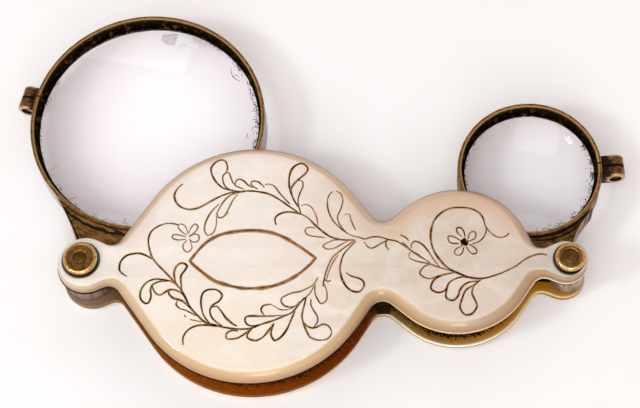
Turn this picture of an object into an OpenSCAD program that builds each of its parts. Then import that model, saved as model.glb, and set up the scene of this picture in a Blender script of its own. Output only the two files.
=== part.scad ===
// A folding pocket magnifier: one flat figure-of-eight case with a lens pivoted at each end.
// Two brass liner plates, faced with mother-of-pearl scales, hold the lens rings between them.
// The origin is on the back face, midway between the pivots. +X points to the small lens,
// +Y to the side where the lenses open, +Z to the engraved front. Both lenses are drawn
// swung out, as the piece lies on a table.

/* [Case outline] */
// Distance between the two pivot axes
pivot_span = 72; // [72:0.1:73]
// Radius of the large lobe
large_lobe_r = 18.55; // [18.4:0.05:18.7]
// Distance from the large pivot to the centre of the large lobe
large_lobe_x = 25.3; // [25:0.1:25.4]
// Radius of the small lobe
small_lobe_r = 11.3; // [11.1:0.05:11.35]
// Distance from the small pivot to the centre of the small lobe
small_lobe_x = 16.45; // [16.4:0.05:16.6]
// How far the small lobe sits off the line between the pivots, towards the open lenses
small_lobe_y = 0.4; // [0:0.05:0.4]
// Radius of the ear round the large pivot
large_ear_r = 4.35; // [4.2:0.05:4.4]
// Distance from the large pivot inwards to the centre of its ear
large_ear_x = 0.55; // [0.3:0.05:0.6]
// How far the large ear sits off its pivot, away from the open lenses
large_ear_y = 0.3; // [0:0.05:0.3]
// Radius of the ear round the small pivot
small_ear_r = 3.25; // [3.1:0.05:3.35]
// Distance from the small pivot inwards to the centre of its ear
small_ear_x = 0.55; // [0.3:0.05:0.6]
// Half width of the neck between the large ear and its lobe
large_neck_w = 3.35; // [3.3:0.05:3.5]
// Half width of the waist
waist_w = 6.3; // [6.2:0.05:6.5]
// Half width of the neck between the small lobe and its ear
small_neck_w = 2.35; // [2.3:0.05:2.5]

/* [Case layers] */
// Clear height between the liners, where the lenses fold in
slot_h = 5.7; // [5.5:0.1:6.5]
// Thickness of a liner plate
liner_t = 0.5; // [0.4:0.1:0.8]
// Thickness of a mother-of-pearl scale
scale_t = 1.7; // [1.5:0.1:2.2]
// How far a scale stays inside the edge of its liner
scale_inset = 0.12; // [0.05:0.01:0.3]
// Width of the rounded edge of a scale round the lobes
edge_w = 1.5; // [0.8:0.1:1.8]
// Share of that width which is left round the ears
ear_edge_share = 0.35; // [0.2:0.05:0.6]
// Height of the straight edge under the rounding
edge_foot = 0.25; // [0.2:0.05:0.6]
// Width of the spacer block
spacer_w = 2; // [1.6:0.1:2]
// Depth of the spacer block
spacer_d = 1.1; // [0.9:0.05:1.1]

/* [Pivots] */
// Radius of the large pivot pin
large_pin_r = 1.0; // [0.8:0.05:1.2]
// Radius of the small pivot pin
small_pin_r = 1.15; // [0.8:0.05:1.2]
// Radius of the rosettes on the large pin
large_rosette_r = 2.55; // [2.3:0.05:2.7]
// Radius of the rosettes on the small pin
small_rosette_r = 2.2; // [2:0.05:2.3]
// Full height of a front rosette
rosette_h = 1.6; // [1.2:0.1:1.8]
// Full height of a back rosette, which lies flush in its scale
back_rosette_h = 1.1; // [0.9:0.05:1.2]
// How deep a front rosette sits in its scale
rosette_sink = 0.5; // [0.3:0.05:0.8]
// Gap round a rosette in its recess
rosette_gap = 0.3; // [0.1:0.05:0.35]
// Radius of the barrel of the large arm
large_barrel_r = 3.55; // [3.2:0.05:3.8]
// Radius of the barrel of the small arm
small_barrel_r = 2.5; // [2.2:0.05:2.8]
// Radial clearance between a pin and its barrel
pin_play = 0.05; // [0.02:0.01:0.1]
// Clearance between a barrel's end and the liner
end_play = 0.05; // [0.02:0.01:0.1]

/* [Lens rings] */
// Height of both lens rings
ring_h = 5.4; // [5:0.1:5.4]
// Distance from the large pivot to the large lens centre
large_arm = 25.3; // [25.2:0.05:25.4]
// Outer radius of the large ring
large_ring_r = 18.2; // [18:0.1:18.3]
// Distance from the small pivot to the small lens centre
small_arm = 16.4; // [16.3:0.05:16.5]
// Outer radius of the small ring
small_ring_r = 10.85; // [10.8:0.05:11]
// Width of a ring's flat top edge
rim_w = 0.6; // [0.5:0.05:0.8]
// How far the lens-holding lips reach in from the ring's outer radius
lip_w = 1.1; // [1:0.05:1.4]
// Thickness of each lip
lip_t = 0.25; // [0.2:0.05:0.3]
// Angle of the large arm from closed
large_open = 71; // [0:0.5:180]
// Angle of the small arm from closed
small_open = 71; // [0:0.5:180]

/* [Lenses] */
// Thickness of the large lens at its centre
large_lens_t = 4.6; // [4:0.1:5]
// Thickness of the small lens at its centre
small_lens_t = 4.2; // [3.6:0.1:4.6]
// Thickness of a lens at its edge
lens_edge_t = 0.7; // [0.5:0.05:0.8]

/* [Clamp lugs] */
// Angle of the large lug round its ring, from the line out of the pivot
large_lug_angle = 95; // [90:1:100]
// How far the large lug stands out of its ring
large_lug_reach = 2.9; // [2:0.1:3]
// Length of the large lug
large_lug_l = 3.8; // [3:0.1:4.5]
// Angle of the small lug round its ring, from the line out of the pivot
small_lug_angle = 104.5; // [100:0.5:112]
// How far the small lug stands out of its ring
small_lug_reach = 3.6; // [2.8:0.1:3.8]
// Length of the small lug
small_lug_l = 3.4; // [3:0.1:4]
// Height of both lugs
lug_h = 3; // [2.8:0.1:3.4]
// Width of the cut that opens each ring
split_w = 0.25; // [0.15:0.05:0.4]
// Radius of a clamp screw's shank
screw_r = 0.5; // [0.4:0.05:0.6]
// Radius of a clamp screw's head
screw_head_r = 0.9; // [0.8:0.05:1]

/* [Hidden] */

pearl = [0.93, 0.88, 0.80];
brass = [0.66, 0.47, 0.20];
dark_brass = [0.42, 0.31, 0.16];
black_brass = [0.13, 0.10, 0.07];
barrel_metal = [0.60, 0.50, 0.43];
glass = [0.85, 0.88, 0.90, 0.5];

// Heights of the layers, from the back face up
back_liner_z = scale_t;
slot_z = back_liner_z + liner_t;
front_liner_z = slot_z + slot_h;
front_scale_z = front_liner_z + liner_t;
front_face_z = front_scale_z + scale_t;
mid_z = slot_z + slot_h / 2;

// The large pivot is at -pivot_x and the small one at +pivot_x
pivot_x = pivot_span / 2;

// The case's outline runs over four circles, each [centre, radius, edge share]. A hollow lies
// between two of them: [middle, half width, radius]. Straight lines tie hollows and circles.
rounds = [
    [[large_ear_x - pivot_x, -large_ear_y], large_ear_r, ear_edge_share],
    [[large_lobe_x - pivot_x, 0], large_lobe_r, 1],
    [[pivot_x - small_lobe_x, small_lobe_y], small_lobe_r, 1],
    [[pivot_x - small_ear_x, 0], small_ear_r, ear_edge_share]
];
hollows = [
    [[4.1 - pivot_x, -large_ear_y], large_neck_w, 1.75],
    [[44.65 - pivot_x, small_lobe_y], waist_w, 2.05],
    [[pivot_x - 3.75, 0], small_neck_w, 1.8]
];
// Steps round each circle and each hollow, on one side of the case
round_steps = [12, 26, 16, 11];
hollow_steps = 8;
edge_steps = 5;
pin_fit = 0.02;
chamfer = 0.2;
// What the ring leaves of its wall outside the lens, and the clearance round the lens in it
rim_wall = 0.5;
lens_play = 0.03;
// Share of a rosette's height that its straight rim takes
rim_share = 0.55;

// side is 1 for the +Y side, and -1 for the other, which is worked out as its mirror image
function round_at(k, side) = [rounds[k][0][0], side * rounds[k][0][1]];
function hollow_at(k, side) =
    [hollows[k][0][0], side * hollows[k][0][1] + hollows[k][1] + hollows[k][2]];
function bearing(from, to) = atan2(to[1] - from[1], to[0] - from[0]);

// Direction in which the line between circle k and hollow h faces. turn is 1 where the edge
// leaves the circle, and -1 where it comes onto it.
function tie(k, h, side, turn) =
    let (c = round_at(k, side), d = hollow_at(h, side))
    bearing(c, d) + turn * acos((rounds[k][1] + hollows[h][2]) / norm(d - c));

// Each point of the edge is [place, outward direction, edge share]
function edge_point(c, r, a, share) = [c + r * [cos(a), sin(a)], [cos(a), sin(a)], share];
function round_edge(k, side) =
    let (from = k == 0 ? 180 : tie(k, k - 1, side, -1), to = k == 3 ? 0 : tie(k, k, side, 1))
    [for (i = [0:round_steps[k]])
        edge_point(round_at(k, side), rounds[k][1], from + (to - from) * i / round_steps[k],
                   rounds[k][2])];
function hollow_edge(k, side) =
    let (from = tie(k, k, side, 1), to = tie(k + 1, k, side, -1),
         share = rounds[k][2], next_share = rounds[k + 1][2])
    [for (i = [0:hollow_steps]) let (t = i / hollow_steps)
        edge_point(hollow_at(k, side), -hollows[k][2], from + (to - from) * t,
                   share + (next_share - share) * t)];
function side_edge(side) =
    concat([for (k = [0:2]) each concat(round_edge(k, side), hollow_edge(k, side))],
           round_edge(3, side));
function mirrored(p) = [[p[0][0], -p[0][1]], [p[1][0], -p[1][1]], p[2]];

// The edge runs clockwise, seen from the front, from the large end along +Y and back along -Y
upper_edge = side_edge(1);
lower_edge = side_edge(-1);
last = len(upper_edge) - 1;
case_edge = concat(upper_edge, [for (i = [last - 1:-1:1]) mirrored(lower_edge[i])]);

module case_plate(thickness, inset)
    linear_extrude(height = thickness)
        polygon([for (p = case_edge) p[0] - p[1] * inset]);

// A scale lies on its flat underside. Its upper edge is rounded in steps.
module scale_blank() {
    round_h = scale_t - edge_foot;
    layers = concat([[0, 0]], [for (k = [0:edge_steps])
        let (a = 90 * k / edge_steps) [edge_w * (1 - cos(a)), edge_foot + round_h * sin(a)]]);
    count = len(case_edge);
    top = (len(layers) - 1) * count;
    polyhedron(
        points = [for (layer = layers) for (p = case_edge)
            let (q = p[0] - p[1] * (scale_inset + layer[0] * p[2])) [q[0], q[1], layer[1]]],
        faces = concat(
            [for (i = [0:last - 1]) each cross_strip(i, count, 0, false)],
            [for (i = [0:last - 1]) each cross_strip(i, count, top, true)],
            [for (a = [0:count:top - count]) for (i = [0:count - 1])
                let (j = (i + 1) % count) each
                [[a + i, a + j, a + count + j], [a + i, a + count + j, a + count + i]]]));
}

// The flat faces are cut into strips that run straight across the case
function cross_strip(i, count, first, up) =
    let (a = first + i, b = a + 1, c = first + count - i - 1, d = first + (count - i) % count,
         faces = concat(i < last - 1 ? [[a, b, c]] : [], i > 0 ? [[a, c, d]] : []))
    up ? faces : [for (f = faces) [f[2], f[1], f[0]]];

module pivot_hole(x, r)
    translate([x, 0, -1]) cylinder(h = scale_t + 2, r = r + pin_fit, $fn = 48);

module rosette_recess(x, r, depth)
    translate([x, 0, scale_t - depth]) cylinder(h = depth + 1, r = r + rosette_gap, $fn = 64);

module drilled_scale(depth)
    difference() {
        scale_blank();
        pivot_hole(-pivot_x, large_pin_r);
        pivot_hole(pivot_x, small_pin_r);
        rosette_recess(-pivot_x, large_rosette_r, depth);
        rosette_recess(pivot_x, small_rosette_r, depth);
    }

module drilled_liner()
    difference() {
        case_plate(liner_t, 0);
        pivot_hole(-pivot_x, large_pin_r);
        pivot_hole(pivot_x, small_pin_r);
    }

module front_scale() color(pearl) translate([0, 0, front_scale_z]) drilled_scale(rosette_sink);

module back_scale()
    color(pearl) translate([0, 0, scale_t]) mirror([0, 0, 1]) drilled_scale(back_rosette_h);

module front_liner() color(brass) translate([0, 0, front_liner_z]) drilled_liner();

module back_liner() color(brass) translate([0, 0, back_liner_z]) drilled_liner();

// The spacer fills the slot's height at the waist, on the side that stays shut
module waist_spacer() {
    waist = hollows[1];
    color(black_brass)
        translate([waist[0][0] - spacer_w / 2, waist[0][1] - waist[1] + scale_inset, slot_z])
        cube([spacer_w, spacer_d, slot_h]);
}

// A pin runs from the back face to the top of the front rosette
module pivot_pin(x, r) {
    length = front_face_z + rosette_h - rosette_sink;
    color(brass) translate([x, 0, 0]) rotate_extrude($fn = 48)
        polygon([[0, 0], [r - chamfer, 0], [r, chamfer], [r, length - chamfer],
                 [r - chamfer, length], [0, length]]);
}

module large_pivot_pin() pivot_pin(-pivot_x, large_pin_r);

module small_pivot_pin() pivot_pin(pivot_x, small_pin_r);

// A rosette is a domed washer. Its dome falls from the pin's hole to a rounded rim.
module rosette(r, hole_r, h) {
    bore = hole_r + pin_fit;
    rim_z = h * rim_share;
    color(brass) rotate_extrude($fn = 64)
        polygon(concat([[bore, 0], [r - chamfer, 0], [r, chamfer], [r, rim_z]],
            [for (a = [15:15:75]) [bore + (r - bore) * cos(a), rim_z + (h - rim_z) * sin(a)]],
            [[bore, h]]));
}

module front_rosette(x, r, hole_r)
    translate([x, 0, front_face_z - rosette_sink]) rosette(r, hole_r, rosette_h);

module back_rosette(x, r, hole_r)
    translate([x, 0, back_rosette_h]) mirror([0, 0, 1]) rosette(r, hole_r, back_rosette_h);

module large_front_rosette() front_rosette(-pivot_x, large_rosette_r, large_pin_r);

module large_back_rosette() back_rosette(-pivot_x, large_rosette_r, large_pin_r);

module small_front_rosette() front_rosette(pivot_x, small_rosette_r, small_pin_r);

module small_back_rosette() back_rosette(pivot_x, small_rosette_r, small_pin_r);

// Both arms are drawn closed along +X from their own pivot, at mid height of the slot
module large_arm_place() translate([-pivot_x, 0, mid_z]) rotate(large_open) children();

module small_arm_place() translate([pivot_x, 0, mid_z]) rotate(180 - small_open) children();

// Section of a ring: a thin rim that slopes in to two lips, which clear the lens's two faces
function ring_section(r, thickness) =
    let (top = ring_h / 2, lip = r - lip_w, soft = 0.15,
         groove = face_height(r - rim_wall, thickness / 2, lip) + lens_play,
         half = [[r, top - soft], [r - soft, top], [r - rim_w, top], [lip, groove + lip_t],
                 [lip, groove], [r - rim_wall + lens_play, groove]])
    concat(half, [for (i = [len(half) - 1:-1:0]) [half[i][0], -half[i][1]]]);

// Outline of the foot from the barrel to the ring: a fishtail that widens in a slow curve
function bend(a, b, c, t) = a * (1 - t) * (1 - t) + 2 * b * t * (1 - t) + c * t * t;
function foot_outline(side) =
    let (flank = [for (t = [0:0.125:1]) bend(side[0], side[1], side[2], t)])
    concat(flank, [for (i = [len(flank) - 1:-1:0]) [flank[i][0], -flank[i][1]]]);

// One half of the foot's outline: at the barrel, its waist, and where it meets the ring
large_flank = [[2.6, 2.3], [4.6, 3.2], [8.9, 8.1]];
small_flank = [[1.7, 1.3], [4.6, 2], [7.6, 6.9]];
// How much lower a foot is than its ring
foot_step = 0.5;

// A foot is brazed to the ring's wall and to the barrel, and is hollowed to fit both
module foot(arm, ring_r, barrel_r, side) {
    h = ring_h - foot_step;
    color(dark_brass) difference() {
        translate([0, 0, -h / 2]) linear_extrude(height = h) polygon(foot_outline(side));
        translate([arm, 0]) cylinder(h = ring_h, r = ring_r + pin_fit, center = true, $fn = 144);
        cylinder(h = ring_h, r = barrel_r + pin_fit, center = true, $fn = 64);
    }
}

module lug_place(arm, ring_r, reach, angle)
    translate([arm, 0]) rotate(angle) translate([ring_r + reach - lug_h / 2, 0]) children();

// The lug is a round bar across the cut, with a flat root that runs into the ring's wall
module lug(reach, length)
    union() {
        rotate([90, 0, 0]) cylinder(h = length, r = lug_h / 2, center = true, $fn = 48);
        translate([-reach / 2 - 0.1, 0]) cube([reach + 0.2, length, lug_h - 0.3], center = true);
    }

// head is 1 or -1, the side of the cut that the screw's head is on
module lens_ring(arm, ring_r, thickness, angle, reach, length, head) {
    inside_r = ring_r - 0.3;
    head_y = head * (length / 2 - 0.4);
    color(dark_brass) difference() {
        union() {
            translate([arm, 0]) rotate_extrude($fn = 144)
                polygon(ring_section(ring_r, thickness));
            difference() {
                lug_place(arm, ring_r, reach, angle) lug(reach, length);
                translate([arm, 0]) cylinder(h = ring_h, r = inside_r, center = true, $fn = 144);
            }
        }
        lug_place(arm, ring_r, reach, angle) {
            cube([ring_r, split_w, ring_h + 1], center = true);
            rotate([90, 0, 0])
                cylinder(h = length + 1, r = screw_r + pin_fit, center = true, $fn = 32);
            translate([0, head_y]) rotate([90, 0, 0])
                cylinder(h = 1.6, r = screw_head_r + pin_fit, center = true, $fn = 32);
        }
    }
}

// The barrel turns on its pin between the liners
module barrel(barrel_r, pin_r) {
    top = slot_h / 2 - end_play;
    bore = pin_r + pin_play;
    color(barrel_metal) rotate_extrude($fn = 64)
        polygon([[bore, -top], [barrel_r - chamfer, -top], [barrel_r, chamfer - top],
                 [barrel_r, top - chamfer], [barrel_r - chamfer, top], [bore, top]]);
}

// A lens is double convex, with a face of radius r that rises by h at its centre
function ball_r(r, h) = let (sag = h - lens_edge_t / 2) (r * r + sag * sag) / (2 * sag);
function face_height(r, h, x) = let (ball = ball_r(r, h)) h - ball + sqrt(ball * ball - x * x);
function lens_face(r, h) = [for (i = [0:10]) let (x = r * sin(9 * i)) [x, face_height(r, h, x)]];

module lens(ring_r, thickness) {
    r = ring_r - rim_wall;
    face = lens_face(r, thickness / 2);
    color(glass) rotate_extrude($fn = 144)
        polygon(concat([for (p = face) [p[0], -p[1]]],
                       [for (i = [len(face) - 1:-1:0]) face[i]]));
}

// A clamp screw lies along the lug, its slotted head sunk in the end that faces the pivot
module clamp_screw(arm, ring_r, angle, reach, length, head)
    color(brass) lug_place(arm, ring_r, reach, angle) difference() {
        union() {
            rotate([90, 0, 0]) cylinder(h = length - 0.6, r = screw_r, center = true, $fn = 32);
            translate([0, head * (length / 2 - 0.75)]) rotate([90, 0, 0])
                cylinder(h = 0.8, r = screw_head_r, center = true, $fn = 32);
        }
        translate([0, head * (length / 2 - 0.4)]) cube([3, 0.5, 0.3], center = true);
    }

module large_barrel() large_arm_place() barrel(large_barrel_r, large_pin_r);

module large_foot() large_arm_place()
    foot(large_arm, large_ring_r, large_barrel_r, large_flank);

module large_ring() large_arm_place()
    lens_ring(large_arm, large_ring_r, large_lens_t, large_lug_angle, large_lug_reach,
              large_lug_l, 1);

module large_lens() large_arm_place() translate([large_arm, 0]) lens(large_ring_r, large_lens_t);

module large_ring_screw() large_arm_place()
    clamp_screw(large_arm, large_ring_r, large_lug_angle, large_lug_reach, large_lug_l, 1);

module small_barrel() small_arm_place() barrel(small_barrel_r, small_pin_r);

module small_foot() small_arm_place()
    foot(small_arm, small_ring_r, small_barrel_r, small_flank);

module small_ring() small_arm_place()
    lens_ring(small_arm, small_ring_r, small_lens_t, -small_lug_angle, small_lug_reach,
              small_lug_l, -1);

module small_lens() small_arm_place() translate([small_arm, 0]) lens(small_ring_r, small_lens_t);

module small_ring_screw() small_arm_place()
    clamp_screw(small_arm, small_ring_r, -small_lug_angle, small_lug_reach, small_lug_l, -1);

front_scale();
front_liner();
back_liner();
back_scale();
waist_spacer();
large_pivot_pin();
small_pivot_pin();
large_front_rosette();
large_back_rosette();
small_front_rosette();
small_back_rosette();
large_barrel();
large_foot();
large_ring();
large_lens();
large_ring_screw();
small_barrel();
small_foot();
small_ring();
small_lens();
small_ring_screw();
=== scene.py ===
# A folding pocket magnifier: two lenses in brass rings, pivoted at the ends of a pearl-faced case.
import math
import random

import bmesh
import bpy
from mathutils import Matrix, Vector, noise
from mathutils.geometry import tessellate_polygon


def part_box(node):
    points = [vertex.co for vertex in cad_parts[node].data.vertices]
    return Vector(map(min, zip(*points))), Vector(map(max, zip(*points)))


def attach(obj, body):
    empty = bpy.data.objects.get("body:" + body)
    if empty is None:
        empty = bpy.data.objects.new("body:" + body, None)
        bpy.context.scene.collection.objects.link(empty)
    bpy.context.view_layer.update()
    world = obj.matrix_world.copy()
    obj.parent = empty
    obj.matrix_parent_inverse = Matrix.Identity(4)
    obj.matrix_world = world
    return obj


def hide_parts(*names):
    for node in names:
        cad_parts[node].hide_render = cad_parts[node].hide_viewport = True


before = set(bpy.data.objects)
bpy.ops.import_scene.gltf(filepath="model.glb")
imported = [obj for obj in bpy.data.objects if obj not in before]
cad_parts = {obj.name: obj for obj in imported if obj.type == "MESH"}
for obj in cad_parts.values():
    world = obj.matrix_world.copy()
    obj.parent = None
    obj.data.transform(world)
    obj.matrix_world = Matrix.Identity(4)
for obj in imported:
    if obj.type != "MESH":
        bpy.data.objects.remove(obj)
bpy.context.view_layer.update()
mm = 0.001
print("frame loaded,", len(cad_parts), "nodes")

# The photograph's camera. Lengths are in mm, angles in degrees, the focal length in photo pixels.
photo = {
    "width": 640,
    "height": 408,
    "focal": 1814.03,
    "azimuth": 8.46,
    "elevation": 67.11,
    "roll": -8.05,
    "distance": 278.6,
    "target": (-1.19, 12.17, 2.09),
}


def cameraAxes():
    azimuth, elevation, roll = (math.radians(photo[k]) for k in ("azimuth", "elevation", "roll"))
    back = Vector((math.sin(azimuth) * math.cos(elevation),
                   -math.cos(azimuth) * math.cos(elevation), math.sin(elevation)))
    level = back.cross(Vector((0, 0, -1))).normalized()
    upright = back.cross(level)
    right = level * math.cos(roll) + upright * math.sin(roll)
    up = upright * math.cos(roll) - level * math.sin(roll)
    return Vector(photo["target"]) + back * photo["distance"], right, up, back


cameraPlace, cameraRight, cameraUp, cameraBack = cameraAxes()


def throughPixel(px, py, z):    # the point at height z that the photo shows at this pixel
    ray = (cameraRight * (px - photo["width"] / 2) - cameraUp * (py - photo["height"] / 2)
           - cameraBack * photo["focal"])
    return cameraPlace + ray * ((z - cameraPlace.z) / ray.z)


def makeCamera():
    data = bpy.data.cameras.new("photoCamera")
    data.sensor_fit = "HORIZONTAL"
    data.sensor_width = 36
    data.lens = 36 * photo["focal"] / photo["width"]
    data.clip_start = 0.01
    camera = bpy.data.objects.new("photoCamera", data)
    facing = Matrix((cameraRight, cameraUp, cameraBack)).transposed().to_4x4()
    camera.matrix_world = Matrix.Translation(cameraPlace * mm) @ facing
    bpy.context.scene.collection.objects.link(camera)
    bpy.context.scene.camera = camera


makeCamera()


# Mesh making. Points are in mm until a piece is made.
def addLoop(verts, points):
    verts.extend(Vector(p) for p in points)
    return list(range(len(verts) - len(points), len(verts)))


def bridge(faces, a, b, closed=True):
    for i in range(len(a) if closed else len(a) - 1):
        j = (i + 1) % len(a)
        faces.append((a[i], a[j], b[j], b[i]))


def skin(faces, loops, verts=None):    # faces from each loop to the next, and the ends too
    for a, b in zip(loops, loops[1:]):
        bridge(faces, a, b)
    for loop in (loops[0], loops[-1]) if verts else ():
        cap(verts, faces, loop)


def cap(verts, faces, *loops):    # the first loop is the edge, the others are holes
    flat = [i for loop in loops for i in loop]
    for tri in tessellate_polygon([[verts[i] for i in loop] for loop in loops]):
        faces.append(tuple(flat[i] for i in tri))


def circle(r, z, count=64, x=0.0):
    angles = (2 * math.pi * i / count for i in range(count))
    return [(x + r * math.cos(a), r * math.sin(a), z) for a in angles]


def linkPiece(name, data):
    piece = bpy.data.objects.new(name, data)
    bpy.context.scene.collection.objects.link(piece)
    return piece


def makePiece(name, verts, faces, body, materials, slot, nodes=(), place=Matrix.Identity(4),
              faceLook=None, sharp=38, **attributes):
    mesh = bpy.data.meshes.new(name)
    mesh.from_pydata([(place @ v) * mm for v in verts], [], faces)
    if faceLook:
        mesh.polygons.foreach_set("material_index", faceLook)
    work = bmesh.new()
    work.from_mesh(mesh)
    bmesh.ops.recalc_face_normals(work, faces=work.faces)
    work.to_mesh(mesh)
    work.free()
    for material in materials:
        mesh.materials.append(material)
    mesh.shade_smooth()
    mesh.set_sharp_from_angle(angle=math.radians(sharp))
    for attribute, values in attributes.items():
        mesh.attributes.new(attribute, "FLOAT", "POINT").data.foreach_set("value", values)
    piece = linkPiece(name, mesh)
    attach(piece, body)
    if nodes:
        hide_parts(*nodes)


# A closed outline of (radius, height, ...) turned about an axis, whole or between two angles
def turned(outline, count, start=0.0, end=360.0, wobble=None, look=None):
    verts, faces, looks, loops = [], [], [], []
    whole = end - start >= 360
    steps = count if whole else count + 1
    for i in range(steps):
        a = math.radians(start + (end - start) * i / count)
        points = [wobble(*point[:2], a) if wobble else point[:2] for point in outline]
        loops.append(addLoop(verts, [(r * math.cos(a), r * math.sin(a), z) for r, z in points]))
    for i in range(count):
        bridge(faces, loops[i], loops[(i + 1) % steps])
        angle = start + (end - start) * i / count
        looks += [look(k, angle) if look else 0 for k in range(len(outline))]
    for loop in () if whole else (loops[0], loops[-1]):
        before = len(faces)
        cap(verts, faces, loop)
        looks += [0] * (len(faces) - before)
    return verts, faces, looks


# The case's outline, the same rule as the model's: circles tied to hollows by straight lines
caseShape = {
    "pivotX": 36.0,
    "rounds": [((-35.45, -0.3), 4.35, 0.35), ((-10.7, 0), 18.55, 1), ((19.55, 0.4), 11.3, 1),
               ((35.45, 0), 3.25, 0.3)],    # centre, radius, share of the edge's width
    "hollows": [((-31.9, -0.3), 3.35, 1.75), ((8.65, 0.4), 6.3, 2.05), ((32.25, 0), 2.35, 1.8)],
    "stepDegrees": 2.2,
    "backZ": 1.7, "slotZ": 2.2, "frontPlateZ": 7.9, "frontZ": 8.4, "faceZ": 10.1,
    "scaleInset": 0.12, "edgeWidth": 1.5, "edgeFoot": 0.25, "edgeSteps": 16,
    "edgeBend": 1.3,    # 1 is a quarter ellipse, more is nearer to a straight bevel
    "pinR": (1.0, 1.15), "rosetteR": (2.55, 2.2), "rosetteGap": 0.3, "holeGap": 0.02,
    "frontSink": 0.5, "backSink": 1.1,
}


def sideEdge(side):
    rounds = [((c[0], side * c[1]), r, share) for c, r, share in caseShape["rounds"]]
    hollows = [((c[0], side * c[1] + w + r), r) for c, w, r in caseShape["hollows"]]

    def tie(k, h, turn):
        (cx, cy), r, _ = rounds[k]
        (dx, dy), q = hollows[h]
        return (math.atan2(dy - cy, dx - cx)
                + turn * math.acos((r + q) / math.hypot(dx - cx, dy - cy)))

    def arc(centre, r, a, b, shareA, shareB):
        count = max(4, int(abs(math.degrees(b - a)) / caseShape["stepDegrees"]))
        points = []
        for i in range(count + 1):
            t = i / count
            out = Vector((math.cos(a + (b - a) * t), math.sin(a + (b - a) * t)))
            points.append((Vector(centre) + out * r, out if r > 0 else -out,
                           shareA + (shareB - shareA) * t))
        return points

    edge = []
    for k in range(4):
        centre, r, share = rounds[k]
        a = math.pi if k == 0 else tie(k, k - 1, -1)
        b = 0.0 if k == 3 else tie(k, k, 1)
        edge += arc(centre, r, a, b, share, share)
        if k < 3:
            nextShare = rounds[k + 1][2]
            hollow = arc(hollows[k][0], hollows[k][1], b + math.pi, tie(k + 1, k, -1) + math.pi,
                         share, nextShare)
            edge += [(p, -out, s) for p, out, s in hollow]
    return edge


def caseEdge():
    upper = sideEdge(1)
    lower = [(Vector((p.x, -p.y)), Vector((out.x, -out.y)), s) for p, out, s in sideEdge(-1)]
    edge = upper + lower[::-1][1:-1]
    tidy = [edge[0]]
    for point in edge[1:]:
        if (point[0] - tidy[-1][0]).length > 0.01:
            tidy.append(point)
    return tidy


caseOutline = caseEdge()
print("case outline has", len(caseOutline), "points")


def outlineLoop(inset, z):    # inset is in mm, a number or one for each share of the edge's width
    def into(share):
        return inset(share) if callable(inset) else inset
    return [(p.x - out.x * into(s), p.y - out.y * into(s), z) for p, out, s in caseOutline]


# Shader helpers: a value that is a socket is linked, any other is set
def put(tree, kind, inputs=(), **settings):
    node = tree.nodes.new(kind)
    for key, value in settings.items():
        setattr(node, key, value)
    for key, value in dict(inputs).items():
        if isinstance(value, bpy.types.NodeSocket):
            tree.links.new(value, node.inputs[key])
        else:
            node.inputs[key].default_value = value
    return node


def rgba(r, g, b):    # screen colour, 0 to 255, as the linear colour that shaders take
    return tuple((c / 255 / 12.92 if c <= 10 else ((c / 255 + 0.055) / 1.055) ** 2.4)
                 for c in (r, g, b)) + (1.0,)


def mixColour(tree, amount, a, b):    # three numbers are a screen colour
    a, b = (rgba(*c) if isinstance(c, tuple) and len(c) == 3 else c for c in (a, b))
    return put(tree, "ShaderNodeMix", {0: amount, 6: a, 7: b}, data_type="RGBA").outputs[2]


def maths(tree, operation, a, b=0.0, clamp=False):
    return put(tree, "ShaderNodeMath", {0: a, 1: b}, operation=operation,
               use_clamp=clamp).outputs[0]


def fade(tree, value, low, high, toLow=0.0, toHigh=1.0):
    return put(tree, "ShaderNodeMapRange", {0: value, 1: low, 2: high, 3: toLow, 4: toHigh},
               interpolation_type="SMOOTHSTEP").outputs[0]


def objectPlace(tree):
    return put(tree, "ShaderNodeTexCoord").outputs["Object"]


def pieceValue(tree, name):    # an attribute of the piece
    return put(tree, "ShaderNodeAttribute", attribute_name=name).outputs["Fac"]


def cloud(tree, place, size, detail=2.0, rough=0.5, bend=0.0, seed=None):    # size in mm
    scale = 1 / (size * mm) if isinstance(size, (int, float)) else maths(tree, "DIVIDE", 1 / mm, size)
    inputs = {"Vector": place, "Scale": scale, "Detail": detail, "Roughness": rough,
              "Distortion": bend}
    if seed is None:    # with a seed, the noise has four dimensions
        return put(tree, "ShaderNodeTexNoise", inputs).outputs[0]
    return put(tree, "ShaderNodeTexNoise", {**inputs, "W": seed}, noise_dimensions="4D").outputs[0]


def newMaterial(name):
    material = bpy.data.materials.new(name)
    material.use_nodes = True
    material.node_tree.nodes.clear()
    return material, material.node_tree


def finishMaterial(material, shader):
    tree = material.node_tree
    tree.links.new(shader.outputs[0], tree.nodes.new("ShaderNodeOutputMaterial").inputs[0])
    return material


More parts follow.
